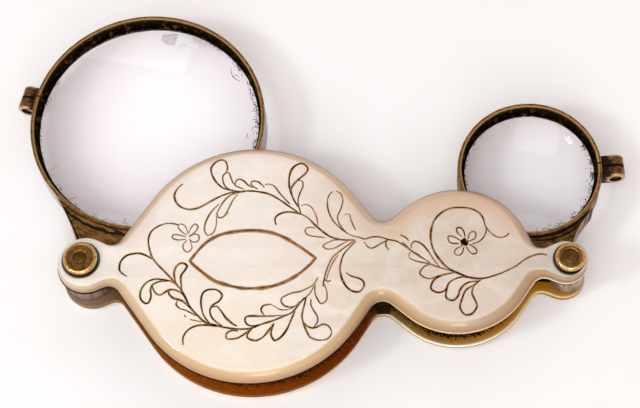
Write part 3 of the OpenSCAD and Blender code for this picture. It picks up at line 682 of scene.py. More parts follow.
# The engraving: scrolls, leaves and two flowers round an empty almond-shaped frame. Each line is
# given by the photo pixels that it runs through, and lies on the front face. The groups differ in
# the line's width, in mm, and in how dark the pigment in it is.
engraving = {
    "deep": {"width": 0.225, "tone": 1.0, "lines": {
        "leftStem": [(179, 225), (172, 223.5), (165, 223.8), (157, 227), (151, 232), (148.5, 239),
            (149, 247), (152, 257), (157, 264), (166, 273), (176, 284), (181, 290), (185, 297),
            (190, 307), (197, 315), (205, 322), (215, 325), (225, 327.5), (237, 329), (250, 328.5),
            (262, 324), (272, 321), (282, 317), (291, 313), (297, 307), (303, 299), (307, 297)],
        "leftCurl": [(152, 259), (147, 256), (140, 253.5), (133, 253.8), (126, 256), (120.5, 262),
            (119.5, 270), (123, 274), (127, 276.5)],
        "leafA": [(182, 291), (181, 283), (181, 276), (185, 270), (187, 266), (184, 263.5),
            (180, 263.5), (176, 267), (174, 273), (175, 280), (177, 285)],
        "leafB": [(176, 284), (170, 281), (162, 279.5), (153, 279.5), (146, 283), (141.5, 289),
            (140, 296), (142, 301), (146, 303.5), (149, 302), (151, 296), (150.5, 289),
            (153, 284.5), (160, 281.5), (168, 281)],
        "leafC": [(152, 284), (153, 289), (156, 293.5), (160, 295), (164, 293), (169, 290),
            (175, 290), (181, 293), (185, 297)],
        "leafD": [(168.5, 290), (169, 294), (173, 298), (180, 300), (185, 303), (190, 308)],
        "tail": [(183, 345), (183, 338), (186, 332), (191, 328), (198, 325.5), (207, 325),
            (215, 326), (222, 326)],
        "leafF": [(210, 324), (204, 316), (201.5, 308), (201, 300), (203, 293), (208, 289.8),
            (215, 289.5), (220, 292), (222, 296), (219, 301), (213, 305), (210, 310), (211, 316),
            (215, 321), (222, 326)],
        "leafG": [(212, 307), (217, 306.5), (221, 311), (226, 318), (233, 324), (237, 326)],
        "leafH": [(238, 331), (232, 330.5), (227, 333), (226, 337), (228, 339), (236, 338.5),
            (243, 335), (250, 330)],
        "leafI": [(252, 329), (249, 332), (247, 336), (249, 339), (256, 340.5), (263, 337),
            (269, 330), (274, 323)],
        "leafJ": [(275, 316), (262, 316.3), (252, 316), (246, 317), (245, 321), (248, 325),
            (254, 326), (262, 324)],
        "leafM": [(274, 324), (271.5, 330), (271, 335), (273, 339), (275, 340.5), (281, 337),
            (287, 329), (291, 320), (295, 311)],
        "leafN": [(306, 298), (304, 306), (302, 315), (303, 322), (306, 330), (310, 337),
            (317, 340), (321, 340)],
        "leafO": [(303, 322), (307, 326), (312, 328), (317, 327), (322, 324.5), (327, 325),
            (330, 328), (331.5, 331)],
        "waistCurl": [(356, 241), (350, 247), (344, 254), (341, 262), (340, 270), (342, 279),
            (346, 286), (351, 290.5), (357, 292), (361, 290.5), (364, 286), (363, 281), (358, 278),
            (351, 276), (346, 272.5)],
        "topCurl": [(183, 184), (178, 188), (174.5, 195), (176, 202), (181, 207), (189, 209.5),
            (198, 208), (207, 203.5), (216, 198.5), (225, 194.5), (235, 192), (245, 191.5)],
        "topLoop": [(226, 173), (227.5, 168), (226, 162), (222, 160), (217, 161.5), (213, 165),
            (211, 170), (213, 177), (217, 183), (223, 188), (230, 190), (238, 191.5)],
        "topBranch": [(238, 191.5), (250, 191), (260, 192), (270, 194.5), (280, 200), (290, 207),
            (299, 213)],
        "topFan": [(300, 209), (294, 200), (290, 190), (289, 180), (291, 171), (295, 166),
            (301, 163.5), (305, 165), (308, 169), (305, 174), (299, 179), (294, 184), (291, 190),
            (293, 198), (298, 207)],
        "topHook": [(276, 225), (275, 219), (278, 215), (284, 212.5), (291, 212), (298, 213.5),
            (302, 214.5)],
        "topStem": [(301, 214), (308, 218), (315, 225), (322, 231), (329, 236), (337, 239),
            (345, 240), (355, 240)],
        "rightSpiral": [(547, 255), (540, 254), (532, 256), (524, 260), (516, 266), (506, 271),
            (496, 275), (482, 278.5), (470, 277.5), (460, 274), (448, 268), (440, 260), (434, 251),
            (431, 241), (431, 231), (434, 221), (441, 213), (450, 208.5), (460, 207.5),
            (470, 208.5), (478, 212), (483, 218), (485, 225), (489, 231), (495, 236), (501, 237.5),
            (506, 236), (509, 233)],
        "rightLeaf1": [(481, 279.5), (474, 285), (466, 290), (462, 299), (460, 307), (463, 313),
            (467, 315), (473, 313), (477, 306), (475, 300), (472, 293), (474, 286), (479, 281)],
        "rightLeaf2": [(468, 277.5), (462, 277), (455, 279), (449, 283), (446.5, 290), (446, 297),
            (450, 300), (454, 300), (458, 296), (460, 290), (464, 285), (470, 282), (480, 281)],
        "rightLeaf3": [(455, 272.5), (447, 274), (440, 276), (434, 280), (431, 286), (432, 290),
            (438, 292.5), (444, 291), (447, 287)],
    }},
    "fine": {"width": 0.17, "tone": 0.88, "lines": {
        "leafE": [(178, 300), (176, 304), (179, 308), (186, 310.5), (192, 313.5), (196, 316)],
        "leafK": [(272, 304.5), (268, 304.5), (263, 306), (261, 310), (264, 315), (266, 316.5)],
        "leafL": [(318, 277), (314, 284), (308, 288), (300, 291.5), (292, 293), (285, 296),
            (282, 298), (281, 301), (284, 305.5), (290, 307), (297, 305.5), (303, 300), (310, 293),
            (314, 286)],
        "leafP": [(311, 299), (311, 305), (314, 311), (317.5, 317), (317, 323), (313, 328)],
        "leafQ": [(315, 284), (315, 293), (318, 300), (321, 303.5), (325, 302), (327, 299.5)],
        "waistRise": [(323, 287), (324, 280), (326, 272), (329, 264), (333, 257), (340, 251),
            (348, 245), (355, 240)],
        "waistTick": [(324, 279), (328, 281.5), (331, 280)],
        "topLeaf1": [(229, 189), (225, 186), (223, 181), (223, 176), (226, 173), (229, 173),
            (231, 178), (233, 183), (235, 184.5)],
        "topLeaf2": [(244, 189), (238, 187), (235, 184.5), (237, 180), (240, 179.3), (244, 181),
            (248, 185), (253, 188)],
        "topLeaf3": [(258, 189), (254, 187), (251, 184), (253, 181), (258, 182), (261, 185)],
        "topLeaf4": [(265, 185), (268, 184), (274, 186), (278, 191), (284, 198), (290, 204)],
        "topDrop": [(244, 192), (236, 193), (228, 197), (222, 204), (216, 215)],
        "topDropLeaf": [(219, 204), (212, 211), (207, 219), (204.5, 227), (205, 232), (208, 236)],
        "fanLeaf": [(298, 180.5), (302, 181), (303, 186), (300, 193), (298, 200), (299, 207),
            (301, 214)],
        "waistLeaf": [(348, 234), (340, 228), (332, 219), (328, 209), (327.5, 200), (330, 194),
            (333, 191.5)],
        "waistLeaf2": [(342, 206), (340, 211), (337.5, 217), (339, 223), (343, 229), (347, 233)],
        "waistStem": [(347, 233), (353, 236), (360, 237.5), (365, 239), (372, 237), (380, 237),
            (388, 239.5), (396, 241), (403, 245), (410, 250), (417, 255), (423, 259)],
        "waistHook": [(364, 242), (368, 247), (373, 248), (380, 244), (388, 240)],
        "waistHook2": [(386, 241), (386, 246), (389, 250)],
        "spiralTie": [(486, 227), (486, 232), (483, 238), (478, 242), (472, 244)],
        "rightLeaf4": [(431, 264.5), (425, 266), (420, 272), (422, 276), (428, 278.5), (433, 278),
            (439, 275.5)],
        "rightLeaf5": [(410, 252), (409, 257), (413, 260), (420, 262), (430, 264), (438, 267),
            (445, 269), (455, 272)],
        "rightLeaf6": [(412, 248), (411, 246), (413, 242), (417, 241.5), (423, 245), (428, 251),
            (434, 260), (440, 267), (443, 269)],
        "rightSprig": [(400, 235), (405, 237), (409, 241)],
        "rightSprig2": [(402, 242), (412, 251), (417, 254), (430, 263)],
        "petal1": [(462, 237), (457, 232), (457, 228), (461, 228), (464, 232), (465, 237)],
        "petal2": [(468, 239), (470, 233), (474, 231.5), (476, 235), (474, 239), (469, 241)],
        "petal3": [(460, 240), (454, 237), (449, 236), (448, 239), (451, 243), (459, 243.5)],
        "petal4": [(462, 246), (456, 249), (454.5, 253), (458, 255.5), (462, 253), (464, 247)],
        "petal5": [(466, 246), (469, 251), (473, 254), (477, 252), (475, 248), (469, 244)],
    }},
    "faint": {"width": 0.15, "tone": 0.62, "lines": {
        "dropClose": [(208.3, 235.5), (213, 233), (216, 226), (216.6, 216)],
        "dropClose2": [(217, 213), (218.6, 217.5), (223, 217), (228.5, 212)],
        "smallLeaf": [(250, 185.5), (252.4, 182), (258, 181.5), (262.3, 185), (264.5, 188)],
        "waistClose": [(342.9, 199), (342.6, 203), (340.8, 208)],
        "lowLeafClose": [(322.5, 281), (325, 286), (327, 293), (326.5, 300), (323, 303.5)],
        "footLeafClose": [(331.4, 330.9), (331, 335), (327, 339), (320.3, 340.6)],
        "topOfLeaf": [(272.3, 305), (275.6, 307), (280, 309.5), (287.7, 309.5), (295.4, 306),
            (299.8, 301)],
        "topOfLeaf2": [(274.5, 315.6), (282, 315.6), (288, 314.3), (295.4, 311)],
        "besideStem": [(326.3, 281), (328.5, 272.4), (332.9, 262.5), (338.4, 254.7)],
        "petalA": [(187, 235), (182, 232), (178, 227), (180, 224), (185, 226), (188, 233)],
        "petalB": [(188, 234), (191, 228), (195, 224), (198, 227), (195, 232), (189, 236)],
        "petalC": [(186, 237), (179, 235), (173, 235), (173, 238.5), (179, 240), (186, 239)],
        "petalD": [(189, 237), (195, 234), (199, 236), (198, 241), (193, 242), (189, 239)],
        "petalE": [(187, 240), (183, 245), (184, 250), (188, 252), (192, 248), (190, 241)],
        "sprig1": [(184, 315), (186, 317)],
        "sprig2": [(190, 319.5), (197, 321), (205, 322)],
        "topDrop2": [(238, 194), (233, 200), (229, 208), (225, 215), (221, 218)],
        "fanLine": [(301, 206), (305, 204.5), (310, 206), (314, 211), (317, 219), (318, 226)],
        "midLeaf1": [(315, 228), (308, 227.5), (305, 231), (308, 235), (315, 236.5), (325, 237.5)],
        "midLeaf2": [(346, 240), (335, 240), (327, 243), (323, 246), (327, 249), (335, 248),
            (342, 244), (348, 241)],
        "waistLine": [(336, 191), (341, 194), (343, 200)],
        "waistLeaf3": [(344, 215), (349, 214), (351, 220), (354, 227), (356, 230)],
    }},
    "frame": {"width": 0.38, "tone": 0.42, "lines": {
        "upper": [(189.3, 261.5), (200, 248.5), (210, 240), (225, 233.5), (250, 230.5),
            (270, 232.5), (285, 238), (300, 247), (310, 254), (316.3, 258.6)],
        "lower": [(189.6, 259.5), (191.5, 263), (197, 268), (212, 279.5), (223, 284), (240, 288),
            (250, 288.5), (262, 288), (275, 285.5), (288, 280.5), (300, 273), (310, 264.5),
            (316, 257.6)],
    }},
    # the darker line inside the frame's band
    "frameCut": {"width": 0.13, "tone": 1.0, "relief": 0.5, "lift": 0.02},
    "flowerEye": {"pixel": (464.5, 242), "radius": 0.62, "points": 30, "bumps": 5,
                  "bumpHeight": 0.12, "layers": ((1, 0), (0.9, 0.012), (0.5, 0.02))},
    "pigment": ((200, 148, 94), (30, 12, 3)),
    "relief": 0.16,    # height of a line's filling over the face, as a share of its half width
    "stain": {"width": 1.6, "tone": 0.07, "relief": 0.03},    # brown that has bled beside a line
}


def smoothLine(points, step=0.18):    # a curve through the points, cut into short steps
    places = [throughPixel(px, py, caseShape["faceZ"]) for px, py in points]
    places = [places[0] * 2 - places[1]] + places + [places[-1] * 2 - places[-2]]
    out = []
    for a, b, c, d in zip(places, places[1:], places[2:], places[3:]):
        count = max(1, int((c - b).length / step))
        for i in range(count):
            t = i / count
            out.append(b + 0.5 * t * ((c - a) + t * ((2 * a - 5 * b + 4 * c - d)
                                                     + t * (3 * (b - c) + d - a))))
    return out + [places[-2]]


def startTree(name, inputs):
    tree = bpy.data.node_groups.new(name, "GeometryNodeTree")
    for title, kind in inputs:
        tree.interface.new_socket(title, in_out="INPUT", socket_type="NodeSocket" + kind)
    tree.interface.new_socket("Geometry", in_out="OUTPUT", socket_type="NodeSocketGeometry")
    return tree, tree.nodes.new("NodeGroupInput").outputs


def endTree(tree, geometry, filling):
    real = put(tree, "GeometryNodeRealizeInstances", {"Geometry": geometry})
    done = put(tree, "GeometryNodeSetMaterial", {"Geometry": real.outputs[0],
                                                 "Material": filling})
    tree.links.new(done.outputs[0], tree.nodes.new("NodeGroupOutput").inputs[0])
    return tree


# Sweeps a flat bead along every line of a curve, as wide as the curve's radius there
def makeLineTree():
    tree, given = startTree("engravedLine", (("Geometry", "Geometry"), ("Relief", "Float"),
                                             ("Tone", "Float"), ("Filling", "Material")))
    level = put(tree, "GeometryNodeSetCurveNormal", {"Curve": given["Geometry"]}, mode="Z_UP")
    bead = put(tree, "GeometryNodeCurvePrimitiveCircle", {"Resolution": 6, "Radius": 1.0})
    flatness = put(tree, "ShaderNodeCombineXYZ", {0: 1.0, 1: given["Relief"], 2: 1.0})
    bead = put(tree, "GeometryNodeTransform", {"Geometry": bead.outputs["Curve"],
                                               "Scale": flatness.outputs[0]})
    sweep = put(tree, "GeometryNodeCurveToMesh",
                {"Curve": level.outputs["Curve"], "Profile Curve": bead.outputs[0],
                 "Scale": put(tree, "GeometryNodeInputRadius").outputs[0], "Fill Caps": True})
    toned = put(tree, "GeometryNodeStoreNamedAttribute",
                {"Geometry": sweep.outputs[0], "Name": "tone", "Value": given["Tone"]},
                data_type="FLOAT", domain="POINT")
    return endTree(tree, toned.outputs[0], given["Filling"])


# Runs a node tree on an object and keeps the result as a plain mesh piece
def growPiece(name, base, tree, inputs, body):
    modifier = base.modifiers.new("grow", "NODES")
    modifier.node_group = tree
    for item in tree.interface.items_tree:
        if item.in_out == "INPUT" and item.name in inputs:
            modifier[item.identifier] = inputs[item.name]
    bpy.context.view_layer.update()
    grown = base.evaluated_get(bpy.context.evaluated_depsgraph_get())
    mesh = bpy.data.meshes.new_from_object(grown)
    mesh.name = name
    bpy.data.objects.remove(base)
    piece = linkPiece(name, mesh)
    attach(piece, body)


def makePigment():
    material, tree = newMaterial("engravingPigment")
    place = objectPlace(tree)
    gaps = fade(tree, cloud(tree, place, 1 / 1.4, 2.0, 0.6), 0.32, 0.52, 0.45, 1)
    blots = fade(tree, cloud(tree, place, 1 / 0.42), 0.32, 0.58, 0.6, 1.15)
    tone = maths(tree, "MULTIPLY", pieceValue(tree, "tone"), gaps)
    tone = maths(tree, "MULTIPLY", tone, blots, clamp=True)
    return finishMaterial(material, put(tree, "ShaderNodeBsdfPrincipled", {
        "Base Color": mixColour(tree, tone, *engraving["pigment"]), "Roughness": 0.8,
        "Specular IOR Level": 0.05, "IOR": 1.1}))


# Draws lines that swell towards the middle, like a graver's cut
graver = {"endWidth": 0.62, "swell": 0.38, "swellShape": 0.6, "shake": 0.35, "shakeStep": 0.13,
          "lineStep": 7.3}


def curvePiece(name, lines, width, relief, tone, tree, filling, body):
    curve = bpy.data.curves.new(name, "CURVE")
    curve.dimensions = "3D"
    for k, points in enumerate(lines):
        spline = curve.splines.new("POLY")
        spline.points.add(len(points) - 1)
        for i, (point, p) in enumerate(zip(spline.points, points)):
            t = i / max(1, len(points) - 1)
            swell = graver["endWidth"] \
                + graver["swell"] * math.sin(math.pi * t) ** graver["swellShape"]
            swell *= 1 + graver["shake"] * noise.noise(
                Vector((i * graver["shakeStep"], k * graver["lineStep"], 0)))
            point.co = (*(p * mm), 1)
            point.radius = width / 2 * swell * mm
    growPiece(name, linkPiece(name, curve), tree,
              {"Relief": relief, "Tone": tone, "Filling": filling}, body)


def makeEngraving(tree):
    pigment, stain = makePigment(), engraving["stain"]
    for group in ("deep", "fine", "faint", "frame"):    # the frame's lines stay for its cut
        look = engraving[group]
        lines = [smoothLine(line) for line in look["lines"].values()]
        curvePiece(group + "Engraving", lines, look["width"], engraving["relief"], look["tone"],
                   tree, pigment, "case")
        curvePiece(group + "Stain", lines, look["width"] * stain["width"], stain["relief"],
                   stain["tone"], tree, pigment, "case")
    cut = engraving["frameCut"]
    curvePiece("frameCut", [[p + Vector((0, 0, cut["lift"])) for p in line] for line in lines],
               cut["width"], cut["relief"], cut["tone"], tree, pigment, "case")
    eye = engraving["flowerEye"]
    middle = throughPixel(*eye["pixel"], caseShape["faceZ"])
    verts, faces, loops = [], [], []
    for share, z in eye["layers"]:
        points = []
        for i in range(eye["points"]):
            a = 2 * math.pi * i / eye["points"]
            r = eye["radius"] * share * (1 + eye["bumpHeight"] * math.sin(eye["bumps"] * a))
            points.append((middle.x + r * math.cos(a), middle.y + r * math.sin(a), middle.z + z))
        loops.append(addLoop(verts, points))
    skin(faces, loops, verts)
    makePiece("flowerEye", verts, faces, "case", [pigment], "pearl", tone=[1.0] * len(verts))


lineTree = makeLineTree()
makeEngraving(lineTree)
print("engraving made")

# Pivots: domed washers over a pin whose end shows in the middle
pivots = {
    "large": {"x": -36.0, "pinR": 1.0, "rosetteR": 2.55},
    "small": {"x": 36.0, "pinR": 1.15, "rosetteR": 2.2},
    "height": 1.6, "sink": 0.5, "backHeight": 1.1, "rimShare": 0.72, "shoulder": 0.36,
    "dish": 0.05, "around": 96,
}


def makeRosette(name, node, pivot, baseZ, height, up):
    bore, r = pivot["pinR"] + caseShape["holeGap"], pivot["rosetteR"]
    rim, flat = height * pivots["rimShare"], height - pivots["dish"]
    shoulder, around = pivots["shoulder"], pivots["around"]
    # The shoulder is rubbed bright, partly a painted highlight, and the side wall darkens towards its
    # foot as painted shade in the recess.
    outline = [(bore, 0, 0, 1), (r - 0.15, 0, 0, 1), (r, 0.15, 0, 1), (r, rim * 0.45, 0, 0.8),
               (r, rim * 0.8, 0.3, 0.2), (r, rim, 0.4, 0.1)]    # radius, height, wear and painted highlight, dirt and painted shade
    for a in range(15, 91, 15):
        a = math.radians(a)
        outline.append((r - shoulder + shoulder * math.cos(a), rim + (height - rim) * math.sin(a),
                        min(1, 0.4 + a), 0))
    outline += [(r - 0.48, height - 0.01, 0.35, 0), (r - 0.6, flat, 0, 0.22),
                (bore + 0.2, flat, 0, 0.1), (bore + 0.07, flat, 0.2, 0.1),
                (bore, flat - 0.08, 0, 1)]
    verts, faces, _ = turned([(q, baseZ + up * z) for q, z, _, _ in outline], around)
    makePiece(name, verts, faces, "case", [metal["rosette"]], "brass", [node],
              Matrix.Translation((pivot["x"], 0, 0)), sharp=50,
              worn=[point[2] for point in outline] * around,
              grime=[point[3] for point in outline] * around)


def makePin(name, node, pivot):
    r, top = pivot["pinR"], caseShape["faceZ"] + pivots["height"] - pivots["sink"]
    outline = [(r - 0.2, 0), (r - 0.05, 0.06), (r, 0.2), (r, top - 0.14),
               (r - 0.05, top - 0.04), (r - 0.16, top)]
    verts, faces = [], []
    skin(faces, [addLoop(verts, circle(q, z)) for q, z in outline], verts)
    makePiece(name, verts, faces, "case", [metal["pin"]], "pin_brass", [node],
              Matrix.Translation((pivot["x"], 0, 0)), sharp=50)


for size in ("large", "small"):
    makeRosette(size + "FrontRosette", size + "_front_rosette", pivots[size],
                caseShape["faceZ"] - pivots["sink"], pivots["height"], 1)
    makeRosette(size + "BackRosette", size + "_back_rosette", pivots[size],
                pivots["backHeight"], pivots["backHeight"], -1)
    makePin(size + "Pin", size + "_pivot_pin", pivots[size])
print("pivots made")

# The arms: barrel, foot, ring with its lug, lens. Along +X from the pivot, at mid height.
arms = {
    "large": {"x": -36.0, "turn": 71.0, "arm": 25.3, "ringR": 18.2, "lensT": 4.6,
              "barrelR": 3.55, "pinR": 1.0, "flank": ((2.6, 2.3), (4.6, 3.2), (8.9, 8.1)),
              "footAngle": 29.0, "lugAngle": 95.0, "lugReach": 2.9, "lugLength": 3.8, "headSide": 1},
    "small": {"x": 36.0, "turn": 109.0, "arm": 16.4, "ringR": 10.85, "lensT": 4.2,
              "barrelR": 2.5, "pinR": 1.15, "flank": ((1.7, 1.3), (4.6, 2.0), (7.6, 6.9)),
              "footAngle": 42.0, "lugAngle": -104.5, "lugReach": 3.6, "lugLength": 3.4, "headSide": -1},
    "midZ": 5.05, "slotHalf": 2.85, "ringHalf": 2.7, "rimWidth": 0.6, "lipWidth": 1.1,
    "lipT": 0.25, "rimWall": 0.5, "lensEdge": 0.7, "lensPlay": 0.03, "splitWidth": 0.25,
    "footHalf": 2.45, "lugHalf": 1.5, "screwHeadR": 0.9, "boreGap": 0.05, "barrelGap": 0.05,
    "ringAround": 300, "lensAround": 160, "lensStep": 5, "barrelAround": 96,
    "wobble": 0.02, "shake": 0.03, "fineShake": 0.015,    # how uneven the hand-filed rings are
}


def armPlace(arm):
    return (Matrix.Translation((arm["x"], 0, arms["midZ"]))
            @ Matrix.Rotation(math.radians(arm["turn"]), 4, "Z"))


def ringPlace(arm):
    return armPlace(arm) @ Matrix.Translation((arm["arm"], 0, 0))


def lensCurve(arm):    # height of the lens's face over its middle plane, at a distance x
    r, h = arm["ringR"] - arms["rimWall"], arm["lensT"] / 2
    sag = h - arms["lensEdge"] / 2
    ball = (r * r + sag * sag) / (2 * sag)
    return lambda x: h - ball + math.sqrt(ball * ball - x * x)


def makeRing(size, arm):
    r, top, rim = arm["ringR"], arms["ringHalf"], arms["rimWidth"]
    lip = r - arms["lipWidth"]
    groove = lensCurve(arm)(lip) + arms["lensPlay"]
    upper = [(r, top * 0.5, 2, 0, 0), (r, top - 0.3, 2, 0, 0),
             (r - 0.05, top - 0.07, 0, 0.3, 0.25), (r - 0.13, top, 0, 0.4, 0.1),
             (r - 0.22, top, 0, 0.1, 0.3), (r - rim * 0.58, top, 0, 0.25, 0.24),
             (r - rim * 0.74, top, 0, 0.8, 0), (r - rim * 0.9, top - 0.02, 0, 0.9, 0),
             (r - rim, top - 0.1, 0, 0.5, 0.3), (r - rim - 0.02, top - 0.2, 1, 0.5, 0),
             (r - rim - 0.06, top - 0.5, 1, 0.05, 0),
             (lip + 0.06, groove + arms["lipT"] + 0.12, 1, 0, 0),
             (lip, groove + arms["lipT"] - 0.05, 1, 0, 0), (lip, groove, 1, 0, 0),
             (r - arms["rimWall"] + arms["lensPlay"], groove, 1, 0, 0)]
    # radius, height, look, wear, grime
    section = upper + [(q, -z, look, worn, dirt) for q, z, look, worn, dirt in upper[::-1]]
    half = math.degrees(arms["splitWidth"] / 2 / r)
    start = arm["lugAngle"] + half

    def wobble(q, z, a):
        shake, fine = (noise.noise(Vector((math.cos(a) * rate, math.sin(a) * rate, arm["x"] + z)))
                       for rate in (3, 14))
        lift = (arms["shake"] * shake + arms["fineShake"] * fine) if abs(z) > 1 else 0
        return q + arms["wobble"] * fine, z + lift

    def lookAt(k, angle):    # the outer wall takes the wall colour, pale on the large ring as a painted reflection, but dark where the foot joins it
        look = section[k][2]
        return 0 if look == 2 and abs(angle % 360 - 180) < arm["footAngle"] else look
    steps = arms["ringAround"]
    verts, faces, looks = turned(section, steps, start, start + 360 - 2 * half, wobble, lookAt)
    makePiece(size + "Ring", verts, faces, size + "_arm",
              [metal["ring"], metal["ringInside"], metal[size + "Wall"]], "dark_brass",
              [size + "_ring"], ringPlace(arm), looks,
              worn=[point[3] for point in section] * (steps + 1),
              grime=[point[4] for point in section] * (steps + 1))


def makeLens(size, arm):
    curve, r = lensCurve(arm), arm["ringR"] - arms["rimWall"]
    verts, faces, around, step = [], [], arms["lensAround"], arms["lensStep"]
    radii = [r * math.sin(math.radians(a)) for a in range(step, 91, step)]
    faceLoops = [[addLoop(verts, circle(q, side * curve(q), around)) for q in radii]
                 for side in (1, -1)]
    for side, loops in zip((1, -1), faceLoops):
        skin(faces, loops)
        middle = len(verts)
        verts.append(Vector((0, 0, side * curve(0))))
        faces += [(middle, loops[0][i], loops[0][(i + 1) % around]) for i in range(around)]
    bridge(faces, faceLoops[0][-1], faceLoops[1][-1])
    makePiece(size + "Lens", verts, faces, size + "_arm", [glass[size]], "glass",
              [size + "_lens"], ringPlace(arm), rim=[math.hypot(v.x, v.y) / r for v in verts])


def makeBarrel(size, arm):
    r, bore, top = arm["barrelR"], arm["pinR"] + arms["boreGap"], arms["slotHalf"] - arms["barrelGap"]
    upper = [(r, top - 0.2), (r - 0.05, top - 0.06), (r - 0.2, top), (bore, top)]
    verts, faces, _ = turned([(q, -z) for q, z in upper[::-1]] + upper, arms["barrelAround"])
    makePiece(size + "Barrel", verts, faces, size + "_arm", [metal["barrel"]], "barrel_metal",
              [size + "_barrel"], armPlace(arm))


# The foot's top is a grid from the barrel to the ring, with a groove along each flank and a step
# just before the ring. Each of them has a middle and a width. Lengths are in mm.
footShape = {
    "across": 48, "along": 36, "overlap": 0.01,
    "corner": 0.14, "cornerDrop": 0.08,
    "groove": (0.5, 0.1), "grooveDepth": 0.16,    # the middle is from the flank
    "step": (0.86, 0.03), "stepDepth": 0.12, "stepAmount": 0.8,    # shares of the foot's length
    "bend": 0.03, "bendRate": 0.9, "uneven": 0.05, "unevenRate": 1.3,
    "rub": 0.16, "innerRub": (0.75, 0.12), "innerRubAmount": 0.8,
    "dirt": 0.2, "clean": 0.2,    # dirt everywhere, but none this close to the flank
}


def hump(away, width):
    return math.exp(-(away / width) ** 2)


def makeFoot(size, arm):
    look, gap = footShape, footShape["overlap"]
    a0, a1, a2 = (Vector(p) for p in arm["flank"])
    ringR, barrelR, reach = arm["ringR"] + gap, arm["barrelR"] + gap, arm["arm"]
    across, along, top = look["across"], look["along"], arms["footHalf"]

    def edgeX(u, v, flank):
        barrel = math.sqrt(barrelR ** 2 - (u * a0.y) ** 2) - math.sqrt(barrelR ** 2 - a0.y ** 2)
        ring = (reach - math.sqrt(ringR ** 2 - (u * a2.y) ** 2)) \
            - (reach - math.sqrt(ringR ** 2 - a2.y ** 2))
        return flank.x + (1 - v) * barrel + v * ring

    def surface(u, v):
        flank = a0 * (1 - v) ** 2 + a1 * 2 * v * (1 - v) + a2 * v ** 2
        x, y = edgeX(u, v, flank), u * flank.y
        side = (1 - abs(u)) * flank.y
        z = top - look["cornerDrop"] * max(0, 1 - side / look["corner"]) ** 2
        (grooveAt, grooveWide), (stepAt, stepWide) = look["groove"], look["step"]
        groove = hump(side - grooveAt, grooveWide)
        bend = look["bend"] * noise.noise(Vector((y * look["bendRate"], arm["x"], 0)))
        step = look["stepAmount"] * hump(v - stepAt + bend, stepWide)
        z -= look["grooveDepth"] * groove + look["stepDepth"] * step
        rate, (rubAt, rubWide) = look["unevenRate"], look["innerRub"]
        z += look["uneven"] * noise.noise(Vector((x * rate, y * rate, arm["x"])))
        rub = hump(side, look["rub"]) + look["innerRubAmount"] * hump(side - rubAt, rubWide)
        dirt = min(1, groove + step + look["dirt"]) if side > look["clean"] else 0
        return x, y, z, min(1, rub), dirt
    verts, faces, worn, grime, rows = [], [], [], [], {1: [], -1: []}
    for s in (1, -1):
        for j in range(along + 1):
            row = [surface(-1 + 2 * i / across, j / along) for i in range(across + 1)]
            rows[s].append(addLoop(verts, [(x, y, s * z) for x, y, z, _, _ in row]))
            worn += [point[3] for point in row]
            grime += [point[4] for point in row]
        for a, b in zip(rows[s], rows[s][1:]):
            bridge(faces, a, b, closed=False)
    looks = [0] * len(faces)
    for i in (0, across):    # the flanks, in the wall colour, a painted reflection on the large foot
        bridge(faces, *([row[i] for row in rows[s]] for s in (1, -1)), closed=False)
    looks += [1] * (len(faces) - len(looks))
    for j in (0, along):    # the ends, at the barrel and at the ring
        bridge(faces, rows[1][j], rows[-1][j], closed=False)
    looks += [0] * (len(faces) - len(looks))
    makePiece(size + "Foot", verts, faces, size + "_arm",
              [metal[size + "Foot"], metal[size + "Wall"]], "dark_brass", [size + "_foot"],
              armPlace(arm), looks, worn=worn, grime=grime)


def lugPlace(arm):    # X runs outwards from the ring's wall, Y along the lug
    return (ringPlace(arm) @ Matrix.Rotation(math.radians(arm["lugAngle"]), 4, "Z")
            @ Matrix.Translation((arm["ringR"], 0, 0)))


# One half of the clamp lug each side of the ring's cut. The head's half has a round sink.
lugShape = {
    "root": 0.15, "rootDepth": 0.3, "rootTaper": 0.15,    # from the ring's wall
    "holeR": 0.53, "headGap": 0.04, "headDepth": 1.2, "endDepth": 0.6, "holeAround": 24,
}


